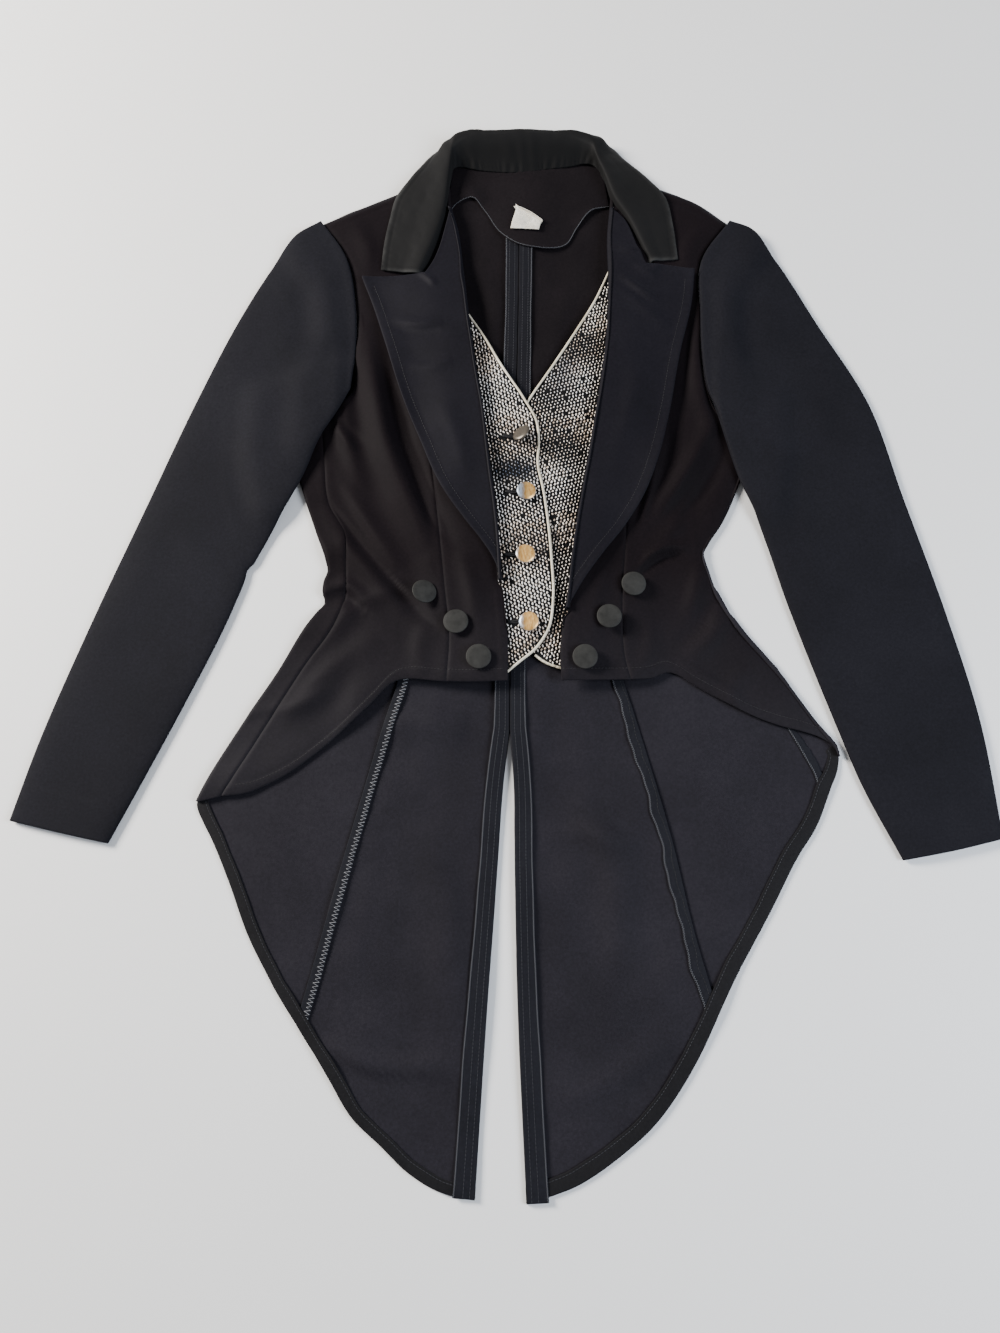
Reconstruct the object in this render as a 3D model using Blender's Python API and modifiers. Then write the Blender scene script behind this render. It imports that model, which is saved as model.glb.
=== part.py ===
"""A woman's tuxedo tailcoat with a sewn-in waistcoat front, laid flat on its back, in metres.

Frame: +X to the wearer's left, +Y toward the collar, +Z up, origin under the middle of the coat.
Tables are in millimetres, each row one point of an edge (x, y), running down or across the panel.
Names with _r are on the wearer's right, at -X, and names with _l on the wearer's left, at +X.
"""

import math

import bmesh
import bpy
import numpy as np

MM = 0.001
WALL = 1.2 * MM
STRIP_WALL = 0.8 * MM
SEAM_GAP = 0.3 * MM
LAYER_AIR = 0.6 * MM
SLEEVE_HEIGHT = 6.2 * MM
SLEEVE_WALL = 1.2 * MM
SIDE_FOLD_COLUMNS = 4
LAPEL_NOSE = 3.8 * MM
LAPEL_ROLL = 1.8 * MM
# The height over which the front's edge moves in under the lapel's nose.
NOSE_END = 6 * MM

ARM_ROWS, SIDE_ROWS, TAIL_ROWS = 8, 14, 9
UNDERARM_LEVEL = 175 * MM
PANEL_COLUMNS, SIDE_COLUMNS, UNDER_COLUMNS, BACK_COLUMNS = 6, 9, 6, 8

# Back neck and shoulders, from the wearer's right shoulder tip to the centre and on to the left.
SHOULDER_BACK_R = [(-181, 391), (-150, 407), (-105, 428), (-54, 452), (-20, 449), (15, 447.5)]
SHOULDER_BACK_L = [(15, 447.5), (48, 451), (98, 456), (142, 438), (185, 419), (222, 391)]
ARMHOLE_BACK_R = [(-181, 391), (-156, 352), (-143, 290), (-142, 250)]
ARMHOLE_BACK_L = [(222, 391), (192, 345), (188, 290), (187, 250)]
UNDERARM_BACK_R = [(-142, 250), (-152, 215), (-176, 186), (-206, 168)]
UNDERARM_BACK_L = [(187, 250), (192, 205), (206, 174)]

# Princess seams of the back, from the armhole to the tail's hem.
BACK_PRINCESS_R = [
    (-142, 250), (-120, 160), (-101, 60), (-92, -20), (-94, -78),
    (-104, -112), (-120, -171), (-134, -225), (-150, -290), (-168, -360),
]
BACK_PRINCESS_L = [
    (187, 250), (152, 160), (116, 60), (101, -20), (103, -75),
    (111, -104), (124, -152), (140, -216), (154, -286), (171, -353),
]

# Centre back seam, then the edge of each tail beside the vent.
CENTRE_BACK = [(15, 447.5), (14, 340), (10, 160), (5, 0), (4, -120)]
VENT_R = [(4, -120), (-1, -160), (-7, -240), (-15, -349), (-24, -488)]
VENT_L = [(4, -120), (7, -160), (8, -240), (10, -349), (16, -491)]

# Where the side of the body folds, from the underarm to the hip corner.
SIDE_FOLD_R = [
    (-206, 168), (-189, 111), (-171, 60), (-160, 26), (-161, 5),
    (-173, -23), (-201, -72), (-221, -105), (-261, -178),
]
SIDE_FOLD_L = [
    (229, 168), (216, 114), (198, 79), (180, 39), (188, 1),
    (211, -47), (247, -98), (267, -122), (285, -147),
]

# Outer edge of each tail, from the hip corner to the princess seam and on to the vent.
TAIL_EDGE_R = [(-261, -178), (-248, -206), (-230, -247), (-211, -291), (-188, -331)]
TAIL_CORNER_R = [(-188, -331), (-178, -346), (-168, -360)]
TAIL_HEM_R = [(-168, -360), (-139, -402), (-120, -430), (-98, -449), (-74, -470), (-51, -482), (-24, -488)]
TAIL_EDGE_L = [(285, -147), (276, -172), (247, -222), (218, -273), (190, -318)]
TAIL_CORNER_L = [(190, -318), (180, -336), (171, -353)]
TAIL_HEM_L = [(171, -353), (155, -383), (138, -409), (113, -438), (85, -460), (57, -477), (16, -491)]

# Side seams: in front on the wearer's right, folded under on the wearer's left.
SIDE_SEAM_R = [
    (-172, 178), (-167, 130), (-161, 90), (-146, 62), (-143, 30), (-143, 0),
    (-150, -23), (-175, -63), (-206, -117), (-238, -176),
]
SIDE_SEAM_L = [
    (206, 174), (192, 114), (174, 76), (156, 38), (160, 4),
    (180, -40), (214, -93), (244, -137), (275, -171),
]

# Fronts.
SHOULDER_FRONT_R = [(-181, 391), (-143, 410), (-107, 426)]
SHOULDER_FRONT_L = [(158, 431), (190, 417), (222, 391)]
NECK_FRONT_R = [(-107, 426), (-80, 438), (-57, 444)]
NECK_FRONT_L = [(109, 443), (132, 439), (158, 431)]
ARMHOLE_FRONT_R = [(-181, 391), (-156, 352), (-143, 290), (-142, 235), (-144, 203), (-172, 178)]
ARMHOLE_FRONT_L = [(222, 391), (192, 345), (188, 290), (187, 240), (190, 205), (200, 180), (229, 168)]
FRONT_PRINCESS_R = [
    (-107, 426), (-96, 330), (-84, 220), (-68, 129), (-61, 74), (-54, 10), (-49, -41), (-51, -79),
]
FRONT_PRINCESS_L = [
    (158, 431), (142, 330), (127, 220), (112, 100), (109, 53), (104, -10), (105, -59), (109, -77),
]
FOLD_LINE_R = [
    (-53, 410), (-47, 385), (-40, 335), (-34, 280), (-27, 225), (-20, 181), (-14, 130), (-8, 81), (-4, 30),
]
FOLD_LINE_L = [
    (104, 410), (101, 375), (100, 321), (97, 266), (90, 213), (81, 161), (72, 110), (63, 61), (55, 0),
]
FRONT_EDGE_R = [(-4, 30), (-1, -10), (2, -45), (2, -79)]
FRONT_EDGE_L = [(55, 0), (51, -24), (48, -55), (49, -79)]
NECK_EDGE_R = [(-57, 444), (-54, 428), (-53, 410)]
NECK_EDGE_L = [(109, 443), (106, 428), (104, 410)]
HEM_SIDE_R = [(-238, -176), (-220, -173), (-191, -160), (-162, -139), (-117, -99), (-97, -79), (-51, -79)]
HEM_SIDE_L = [(109, -77), (128, -75), (149, -70), (169, -82), (202, -101), (240, -124), (285, -147)]
HEM_FRONT_R = [(-51, -79), (-25, -80), (2, -79)]
HEM_FRONT_L = [(49, -79), (80, -78), (109, -77)]

# Lapels: the outer edge from the peak down, and the top edge from the peak past the notch to the fold.
LAPEL_OUTER_R = [
    (-138, 325), (-127, 296), (-114, 255), (-94, 191), (-78, 150), (-59, 105), (-36, 70), (-21, 50), (-13, 34),
]
LAPEL_OUTER_L = [
    (184, 333), (180, 300), (166, 244), (151, 172), (140, 132), (127, 98), (108, 66), (85, 37), (67, 7),
]
PEAK_EDGE_R = [(-138, 325), (-106, 326), (-77, 328)]
PEAK_EDGE_L = [(184, 333), (160, 337), (137, 339)]
GORGE_R = [(-77, 328), (-67, 349), (-55.5, 391), (-53, 404)]
GORGE_L = [(137, 339), (130, 356), (116.5, 391), (104, 404)]

# Waistcoat: the wearer's right laps over the left.
VEST_EDGE_R = [
    (-36, 287), (-19, 259), (0, 224), (21, 192), (33, 168), (33, 143), (32, 128),
    (38, 103), (41, 73), (42, 34), (43, -4), (38, -31), (26, -50), (13, -61), (0, -72),
]
VEST_INNER_R = [(-62, 287), (-54, 190), (-46, 90), (-40, 0), (-36, -68)]
VEST_EDGE_L = [(104, 340), (88, 303), (67, 265), (43, 225), (27, 200), (8, 168)]
VEST_CENTRE_L = [(8, 168), (12, 110), (18, 40), (20, -20), (20, -50)]
VEST_HEM_L = [(20, -50), (28, -54), (35, -60), (48, -68), (84, -72)]
VEST_INNER_L = [(124, 336), (118, 260), (108, 160), (96, 60), (84, -72)]
PIPING_RADIUS = 1.4 * MM

# Collar sections across it, from its right end round the neck to its left end. Each row gives, as
# x, y and z: outer edge of the fall, middle of the fall, roll, lower edge of the stand.
COLLAR_SECTIONS = [
    ((-120, 335, 8.5), (-101, 332, 9.5), (-82, 329, 10.5), (-80, 329, 7.5)),
    ((-118, 362, 8.5), (-95, 358, 10.5), (-73, 353, 12), (-71, 353, 7.5)),
    ((-113, 394, 8.5), (-87, 393, 11.5), (-61, 392, 14), (-58.5, 392, 7.5)),
    ((-107, 419, 9), (-81, 417, 12), (-58, 414, 15.5), (-55.5, 414, 7.5)),
    ((-98, 434, 9), (-76, 438, 12.5), (-56, 441, 17), (-53, 441, 8)),
    ((-84, 455, 8), (-69, 462, 12.5), (-54, 465, 18.5), (-49, 455, 8)),
    ((-66, 476, 4), (-60, 482, 11), (-51, 482, 20), (-41, 456, 7)),
    ((-43, 470, 0), (-48, 488, 6), (-37, 488, 20.5), (-30, 454, 6)),
    ((-18, 448, 0), (-16, 485, 0.4), (-15, 488, 20), (-12, 452, 5.5)),
    ((18, 446, 0), (18, 485, 0.4), (18, 489, 20.5), (17, 451, 5.5)),
    ((52, 449, 0), (50, 485, 0.4), (50, 488, 20), (45, 455, 5.5)),
    ((77, 470, 0), (84, 488, 6), (74, 487, 20.5), (68, 458, 6)),
    ((103, 484, 4), (97, 487, 11), (86, 482, 20), (80, 460, 7)),
    ((122, 462, 8), (107, 465, 12.5), (92, 463, 18.5), (88, 458, 8)),
    ((142, 441, 9), (120, 442, 12.5), (101, 440, 17), (98.5, 441, 8)),
    ((159, 419, 9), (132, 417, 12), (109, 414, 15.5), (106.5, 414, 7.5)),
    ((166, 385, 8.5), (143, 389, 11.5), (122, 392, 14), (120, 391, 7.5)),
    ((168, 362, 8.5), (150, 363, 10.5), (135.5, 361, 12), (133.5, 360, 7.5)),
    ((169, 347, 8.5), (155, 345, 9.5), (143, 343, 10.5), (141, 342, 7.5)),
]
COLLAR_STEPS = 2
COLLAR_COLUMNS = 9
# The stretch of the fall that lies on the table under the back's neck edge.
FALL_AT_BACK = [(-48, 444), (84, 444), (84, 490), (-48, 490)]

# Inside of the back neck.
FACING_TOP = [(-47, 448), (-8, 443), (15, 442), (46, 446), (88, 448)]
FACING_BOTTOM = [
    (-48, 418), (-34, 421), (-20, 406), (-4, 379), (14, 364), (40, 360), (60, 366), (72, 386), (94, 409),
]
LABEL_OUTLINE = [(9, 381), (35, 385), (36, 396), (14, 412), (7, 394)]

# Sleeves, from the shoulder to the cuff.
SLEEVE_OUTER_R = [
    (-184, 392), (-203, 378), (-230, 335), (-255, 284), (-288, 201),
    (-329, 84), (-367, -26), (-402, -138), (-417, -198),
]
SLEEVE_INNER_R = [
    (-145, 204), (-156, 180), (-168, 159), (-187, 112), (-213, 59),
    (-240, -8), (-281, -105), (-303, -154), (-332, -217),
]
SLEEVE_HEAD_R = [(-184, 392), (-158, 352), (-145, 290), (-144, 240), (-145, 204)]
SLEEVE_OUTER_L = [
    (225, 392), (242, 384), (265, 350), (302, 276), (342, 194),
    (366, 94), (391, -12), (410, -112), (417, -213),
]
SLEEVE_INNER_L = [
    (200, 177), (208, 138), (215, 112), (228, 79), (253, -12), (288, -125), (301, -164), (331, -231),
]
SLEEVE_HEAD_L = [(225, 392), (195, 345), (190.5, 290), (190, 240), (193, 205), (200, 177)]
CUFF_R = [(-417, -198), (-374, -208), (-332, -217)]
CUFF_L = [(417, -213), (374, -223), (331, -231)]

# Soft folds: start, end, half width and height, all in millimetres.
FRONT_FOLDS = [
    # x0, y0, x1, y1, half_width, height
    (-112, 215, -74, 95, 9, 4.0),
    (-128, 205, -88, 80, 9, 3.0),
    (-138, 92, -66, -25, 10, 3.2),
    (-60, 60, -42, -30, 12, 2.2),
    (-150, 0, -105, -60, 13, 2.6),
    (-205, -110, -150, -95, 16, 2.4),
    (176, 145, 140, 70, 11, 3.6),
    (160, 190, 122, 95, 10, 3.0),
    (172, 45, 114, -12, 10, 3.4),
    (190, -20, 150, -62, 13, 2.8),
    (232, -100, 180, -80, 15, 2.4),
    (84, 20, 78, -60, 14, 2.0),
]
SLEEVE_FOLDS = [
    (-232, 300, -210, 190, 22, 3.0),
    (-262, 170, -205, 120, 18, 2.6),
    (-300, 60, -252, 10, 20, 2.0),
    (-360, -90, -318, -130, 20, 1.8),
    (270, 290, 236, 190, 22, 3.0),
    (306, 190, 250, 110, 18, 2.6),
    (352, 60, 300, 0, 20, 2.0),
    (388, -70, 330, -120, 20, 1.8),
]

# Buttons: name, x and y of the centre. The front's are flat and dark, the waistcoat's domed metal.
FRONT_BUTTONS = [
    ("front_button_r1", -72, 1), ("front_button_r2", -43, -27), ("front_button_r3", -23, -59),
    ("front_button_l1", 114, 10), ("front_button_l2", 91, -22), ("front_button_l3", 69, -59),
]
WAISTCOAT_BUTTONS = [
    ("waistcoat_button_1", 18, 153), ("waistcoat_button_2", 19, 98),
    ("waistcoat_button_3", 18, 37), ("waistcoat_button_4", 21, -26),
]
# Radius and height of each corner of a button's turned profile, from its axis below to its axis above.
FRONT_BUTTON_PROFILE = [(0, 0), (6, 0), (10.6, 1.6), (11, 3), (10.2, 4.2), (5, 4.9), (0, 5)]
METAL_BUTTON_PROFILE = [(0, 0), (4, 0), (8, 1.6), (8.8, 2.6), (7.6, 4.2), (4.4, 5.4), (0, 5.8)]
BUTTON_SEGMENTS = 16

CENTRE_STRIP_WIDTHS = (12.0, 12.5, 16.5)
TAIL_STRIP_R = (8.5, 8.5)
TAIL_STRIP_L = (11.5, 12.5)
HEM_WIDTH_R, HEM_WIDTH_L = 9.0, 12.5
# How far round a point the cloth below it counts, under the neck facing and under the sleeves.
FACING_REACH, SLEEVE_REACH = 12 * MM, 36 * MM
# How far short of the hem's inner edge the strips end, since the hem slants past them.
CENTRE_STRIP_ROOM, TAIL_STRIP_ROOM = 7.0, 5.0

COLOURS = {
    # slot: (red, green, blue), roughness, metallic
    "wool": ((0.018, 0.018, 0.023), 0.85, 0.0),
    "collar_cloth": ((0.028, 0.028, 0.026), 0.75, 0.0),
    "knit": ((0.42, 0.40, 0.34), 0.45, 0.5),
    "piping": ((0.70, 0.68, 0.58), 0.4, 0.2),
    "dark_button": ((0.035, 0.036, 0.032), 0.5, 0.0),
    "metal_button": ((0.62, 0.56, 0.40), 0.25, 1.0),
    "label": ((0.78, 0.75, 0.66), 0.8, 0.0),
}


class Pile:
    """The height of all that lies on the table, on a square raster."""

    CELL = 2 * MM
    REACH = 30 * MM
    BLUR = 10 * MM

    def __init__(self, half_x=0.44, half_y=0.52):
        self.low = np.array([-half_x, -half_y])
        self.size = tuple(int(round(2 * h / self.CELL)) + 1 for h in (half_x, half_y))
        self.height = np.zeros(self.size)

    def cells(self, xy):
        """Raster position of each point, as floats."""
        return (np.asarray(xy) - self.low) / self.CELL

    def lay(self, tops):
        """Raise the pile to a piece's upper surface, a grid of points."""
        fine = refine(tops, 10)
        index = np.rint(self.cells(fine[..., :2])).astype(int).reshape(-1, 2)
        index = np.clip(index, 0, np.array(self.size) - 1)
        np.maximum.at(self.height, (index[:, 0], index[:, 1]), fine[..., 2].reshape(-1))

    def spread(self, height, reach, blur):
        """The raster's highest value within reach, then softened, never under the pile itself."""
        wide = height
        for axis in (0, 1):
            wide = running(wide, int(reach / self.CELL), axis, np.maximum.reduce)
        soft = wide
        for axis in (0, 1):
            soft = running(soft, int(blur / self.CELL), axis, lambda parts: sum(parts) / len(parts))
        return soft

    def under(self, xy, inside=None, reach=None):
        """The height on which cloth over these points lies. Inside keeps only the cells in an outline."""
        height = self.height if inside is None else np.where(self.mask(inside), self.height, 0.0)
        soft = self.spread(height, reach or self.REACH, self.BLUR)
        return self.read(soft, xy)

    def read(self, raster, xy):
        """A raster's values at points, between cells."""
        at = self.cells(xy)
        low = np.clip(np.floor(at).astype(int), 0, np.array(self.size) - 2)
        part = at - low
        x, y = low[..., 0], low[..., 1]
        a, b = part[..., 0], part[..., 1]
        return (
            raster[x, y] * (1 - a) * (1 - b)
            + raster[x + 1, y] * a * (1 - b)
            + raster[x, y + 1] * (1 - a) * b
            + raster[x + 1, y + 1] * a * b
        )

    def mask(self, outline):
        """True for the cells inside a closed outline."""
        gx, gy = np.meshgrid(*(np.arange(n) for n in self.size), indexing="ij")
        points = self.cells(outline)
        found = np.zeros(self.size, bool)
        for (x0, y0), (x1, y1) in zip(points, np.roll(points, -1, axis=0)):
            if y0 == y1:
                continue
            crosses = ((gy < y0) != (gy < y1)) & (gx < x0 + (gy - y0) * (x1 - x0) / (y1 - y0))
            found ^= crosses
        return found


def running(values, radius, axis, combine):
    """Combine each cell with its neighbours within a radius along one axis."""
    pads = [(0, 0), (0, 0)]
    pads[axis] = (radius, radius)
    padded = np.pad(values, pads, mode="edge")
    count = values.shape[axis]
    parts = [np.take(padded, range(k, k + count), axis=axis) for k in range(2 * radius + 1)]
    return combine(parts)


def refine(grid, times):
    """A grid of points with more rows and columns, straight between the old ones."""
    for axis in (0, 1):
        count = grid.shape[axis]
        at = np.linspace(0, count - 1, (count - 1) * times + 1)
        low = np.minimum(at.astype(int), count - 2)
        part = (at - low).reshape((-1, 1, 1) if axis == 0 else (1, -1, 1))
        grid = np.take(grid, low, axis=axis) * (1 - part) + np.take(grid, low + 1, axis=axis) * part
    return grid


def smooth(points):
    """A fine smooth curve through points, by cubic pieces whose slopes follow the neighbours."""
    points = np.asarray(points, float)
    if len(points) == 2:
        return points[0] + np.linspace(0, 1, 40)[:, None] * (points[1] - points[0])
    steps = np.linalg.norm(np.diff(points, axis=0), axis=1)
    along = np.concatenate([[0], np.cumsum(steps)])
    slopes = np.gradient(points, along, axis=0)
    at = np.linspace(0, along[-1], 40 * len(points))
    k = np.clip(np.searchsorted(along, at, side="right") - 1, 0, len(points) - 2)
    h = steps[k][:, None]
    t = ((at - along[k]) / steps[k])[:, None]
    return (
        (2 * t**3 - 3 * t**2 + 1) * points[k]
        + (t**3 - 2 * t**2 + t) * h * slopes[k]
        + (3 * t**2 - 2 * t**3) * points[k + 1]
        + (t**3 - t**2) * h * slopes[k + 1]
    )


def spaced(curve, count):
    """Points at even distances along a fine curve."""
    steps = np.linalg.norm(np.diff(curve, axis=0), axis=1)
    along = np.concatenate([[0], np.cumsum(steps)])
    at = np.linspace(0, along[-1], count)
    return np.stack([np.interp(at, along, column) for column in curve.T], axis=1)


def edge(table, count):
    """An edge's points in metres, evenly spaced along the smooth curve of its table."""
    return spaced(smooth(np.array(table) * MM), count)


def chain(*edges):
    """Edges end to end as one, without the repeated corner points."""
    return np.concatenate([edges[0]] + [e[1:] for e in edges[1:]])


def front_edge_rows(*tables):
    """An edge of a front over tables that meet at corners, its rows divided at the underarm's level."""
    curve = np.concatenate([smooth(np.array(table) * MM) for table in tables])
    above = int((curve[:, 1] > UNDERARM_LEVEL).sum())
    return chain(spaced(curve[: above + 1], ARM_ROWS), spaced(curve[above:], SIDE_ROWS))


def corner_edge(count, *tables):
    """One edge of even points over tables that meet at corners."""
    return spaced(np.concatenate([smooth(np.array(table) * MM) for table in tables]), count)


def patch(left, right, top, bottom):
    """A panel's plan: a grid whose four sides are the given edges."""
    v = np.linspace(0, 1, len(left))[:, None, None]
    u = np.linspace(0, 1, len(top))[None, :, None]
    top = top.copy()
    bottom = bottom.copy()
    top[0], top[-1], bottom[0], bottom[-1] = left[0], right[0], left[-1], right[-1]
    sides = (1 - u) * left[:, None] + u * right[:, None]
    ends = (1 - v) * top[None] + v * bottom[None]
    upper = (1 - u) * left[0] + u * right[0]
    lower = (1 - u) * left[-1] + u * right[-1]
    return sides + ends - (1 - v) * upper - v * lower


def inset(grid, left=SEAM_GAP / 2, right=SEAM_GAP / 2, top=SEAM_GAP / 2, bottom=SEAM_GAP / 2):
    """The same grid with each side moved in."""
    grid = grid.copy()
    for index, inner, amount in (
        ((slice(None), 0), (slice(None), 1), left),
        ((slice(None), -1), (slice(None), -2), right),
        ((0,), (1,), top),
        ((-1,), (-2,), bottom),
    ):
        step = grid[inner] - grid[index]
        length = np.linalg.norm(step, axis=-1, keepdims=True)
        grid[index] = grid[index] + step / length * amount
    return grid


def folds(xy, table):
    """Height added by soft folds: a smooth ridge along each row's line, fading at its ends."""
    total = np.zeros(xy.shape[:-1])
    for x0, y0, x1, y1, half_width, height in table:
        start, end = np.array([x0, y0]) * MM, np.array([x1, y1]) * MM
        span = end - start
        t = ((xy - start) @ span) / (span @ span)
        nearest = start + np.clip(t, 0, 1)[..., None] * span
        distance = np.linalg.norm(xy - nearest, axis=-1) / (half_width * MM)
        swell = 0.35 + 0.65 * np.sin(np.pi * np.clip(t, 0, 1))
        total = np.maximum(total, height * MM * swell * np.exp(-(distance**2)))
    return total


def raised(grid, z):
    """A plan grid with heights, as points in space."""
    return np.concatenate([grid, z[..., None]], axis=-1)


def material(slot):
    """The slot's own Principled material."""
    found = bpy.data.materials.get(slot)
    if found:
        return found
    colour, roughness, metallic = COLOURS[slot]
    made = bpy.data.materials.new(slot)
    made.use_nodes = True
    shader = made.node_tree.nodes["Principled BSDF"]
    shader.inputs["Base Color"].default_value = (*colour, 1.0)
    shader.inputs["Roughness"].default_value = roughness
    shader.inputs["Metallic"].default_value = metallic
    made.diffuse_color = (*colour, 1.0)
    return made


def add_object(name, data, slot):
    """Put a mesh or curve in the coat's collection with its material."""
    made = bpy.data.objects.new(name, data)
    bpy.data.collections["tailcoat"].objects.link(made)
    data.materials.append(material(slot))
    return made


def grid_mesh(name, points, keep=None):
    """An open surface from a grid of points. Keep leaves out the grid's unused cells."""
    rows, columns = points.shape[:2]
    used = np.ones((rows - 1, columns - 1), bool) if keep is None else keep
    mesh = bpy.data.meshes.new(name)
    build = bmesh.new()
    verts = [build.verts.new(p) for p in points.reshape(-1, 3)]
    for i, j in zip(*np.nonzero(used)):
        a = i * columns + j
        build.faces.new([verts[a], verts[a + columns], verts[a + columns + 1], verts[a + 1]])
    loose = [v for v in build.verts if not v.link_faces]
    bmesh.ops.delete(build, geom=loose, context="VERTS")
    build.to_mesh(mesh)
    build.free()
    return mesh


def flat_panel(name, base, wall, slot):
    """Cloth between a grid of points on its underside and the same grid moved up by the wall."""
    mesh = grid_mesh(name, base)
    build = bmesh.new()
    build.from_mesh(mesh)
    lifted = bmesh.ops.extrude_face_region(build, geom=list(build.faces))
    corners = [g for g in lifted["geom"] if isinstance(g, bmesh.types.BMVert)]
    bmesh.ops.translate(build, verts=corners, vec=(0, 0, wall))
    bmesh.ops.recalc_face_normals(build, faces=build.faces)
    build.to_mesh(mesh)
    build.free()
    mesh.shade_smooth()
    mesh.set_sharp_from_angle(angle=math.radians(40))
    return add_object(name, mesh, slot)


def shell(name, outer, wall, slot, keep=None):
    """Cloth whose outer side is a grid of points, thickened inward by Solidify."""
    mesh = grid_mesh(name, outer, keep)
    mesh.shade_smooth()
    made = add_object(name, mesh, slot)
    modifier = made.modifiers.new("wall", "SOLIDIFY")
    modifier.thickness = wall
    modifier.offset = -1.0
    return made


def tube_shell(name, rings, wall, slot):
    """An open tube through closed rings of points, thickened inward."""
    closed = np.concatenate([rings, rings[:, :1]], axis=1)
    mesh = grid_mesh(name, closed)
    build = bmesh.new()
    build.from_mesh(mesh)
    bmesh.ops.remove_doubles(build, verts=build.verts, dist=1e-6)
    build.to_mesh(mesh)
    build.free()
    mesh.shade_smooth()
    made = add_object(name, mesh, slot)
    modifier = made.modifiers.new("wall", "SOLIDIFY")
    modifier.thickness = wall
    modifier.offset = -1.0
    return made


def side_strip(line, width, inward, start=SEAM_GAP):
    """A plan grid beside an edge: its columns run from the edge inward by the width at each row."""
    across = square_to(line) * inward
    width = np.interp(np.linspace(0, 1, len(line)), np.linspace(0, 1, len(width)), width) * MM
    outer = line + across * start
    inner = line + across * (start + width[:, None])
    return np.stack([outer, inner], axis=1)


def folded_side(fold, seam, first_z, last_z, outward):
    """Where cloth turns over at the body's side: the arc round the fold and the leg back to the seam.

    fold and seam are the rows' points in plan, first_z and last_z the outer side's heights before and
    after the fold, and outward the side of the fold's course that is off the body. Returns the arc with
    the leg as one grid, and the points where the arc starts.
    """
    out = square_to(fold) * outward
    radius = np.abs(last_z - first_z) / 2
    centre = fold - out * radius[:, None]
    columns = []
    for k in range(1, SIDE_FOLD_COLUMNS):
        angle = math.pi * k / SIDE_FOLD_COLUMNS
        plan = centre + out * (radius * math.sin(angle))[:, None]
        columns.append(np.column_stack([plan, first_z + (last_z - first_z) * (1 - math.cos(angle)) / 2]))
    for share in (0, 0.5, 1):
        columns.append(np.column_stack([centre + (seam - centre) * share, last_z]))
    return np.stack(columns, axis=1), centre


def square_to(line):
    """Unit directions square to a line in plan, to the left of its course."""
    along = np.gradient(line, axis=0)
    along /= np.linalg.norm(along, axis=1, keepdims=True)
    return np.stack([-along[:, 1], along[:, 0]], axis=1)


def seam_step(fold, seam):
    """The seam line moved toward the fold by half the gap."""
    out = fold - seam
    return seam + out / np.linalg.norm(out, axis=1, keepdims=True) * SEAM_GAP / 2


def make_backs(pile):
    """Both centre backs with their tails, and both side backs."""
    centre = edge(CENTRE_BACK, ARM_ROWS + SIDE_ROWS - 1)
    plans = {}
    for side, shoulder, armhole, princess, vent, hem in (
        ("r", SHOULDER_BACK_R, ARMHOLE_BACK_R, BACK_PRINCESS_R, VENT_R, TAIL_HEM_R),
        ("l", SHOULDER_BACK_L, ARMHOLE_BACK_L, BACK_PRINCESS_L, VENT_L, TAIL_HEM_L),
    ):
        outer = chain(edge(armhole, ARM_ROWS), edge(princess, SIDE_ROWS + TAIL_ROWS - 1))
        inner = chain(centre, edge(vent, TAIL_ROWS))
        if side == "r":
            grid = patch(outer, inner, edge(shoulder, BACK_COLUMNS), edge(hem, BACK_COLUMNS))
        else:
            across = edge(hem[::-1], BACK_COLUMNS)
            grid = patch(inner, outer, edge(shoulder, BACK_COLUMNS), across)
        plans["back_" + side] = inset(grid)
    bases = {name: raised(grid, pile.under(grid)) for name, grid in plans.items()}
    for name, base in bases.items():
        flat_panel(name, base, WALL, "wool")
    return bases


def make_side_back_r(front_top):
    """The right side back: under the body, round the side fold and on to the front's side seam."""
    rows = SIDE_ROWS + TAIL_ROWS - 1
    princess = edge(BACK_PRINCESS_R, rows)
    fold = edge(SIDE_FOLD_R, SIDE_ROWS)
    seam = edge(SIDE_SEAM_R, SIDE_ROWS)
    top_z = front_top(seam)
    arc, centre = folded_side(fold, seam_step(fold, seam), np.zeros(SIDE_ROWS), top_z, -1)
    outer = chain(centre, edge(TAIL_EDGE_R, TAIL_ROWS))
    outer[SIDE_ROWS - 1] = centre[-1]
    top = edge(UNDERARM_BACK_R[::-1], UNDER_COLUMNS)
    grid = inset(patch(outer, princess, top, edge(TAIL_CORNER_R, UNDER_COLUMNS)), left=0)
    under = raised(grid, np.zeros(grid.shape[:2]))[:, ::-1]
    points = np.zeros((rows, under.shape[1] + arc.shape[1], 3))
    points[:, : under.shape[1]] = under
    points[:SIDE_ROWS, under.shape[1] :] = arc
    keep = np.ones((rows - 1, points.shape[1] - 1), bool)
    keep[SIDE_ROWS - 1 :, under.shape[1] - 1 :] = False
    shell("side_back_r", points, WALL, "wool", keep)
    return arc


def make_side_back_l():
    """The left side back, flat under the body, out to the seam that is folded under."""
    rows = SIDE_ROWS + TAIL_ROWS - 1
    princess = edge(BACK_PRINCESS_L, rows)
    outer = chain(edge(SIDE_SEAM_L, SIDE_ROWS), edge(TAIL_EDGE_L[1:], TAIL_ROWS))
    top = edge(UNDERARM_BACK_L, UNDER_COLUMNS)
    grid = inset(patch(princess, outer, top, edge(TAIL_CORNER_L[::-1], UNDER_COLUMNS)))
    base = raised(grid, np.zeros(grid.shape[:2]))
    flat_panel("side_back_l", base, WALL, "wool")
    return base


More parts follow.
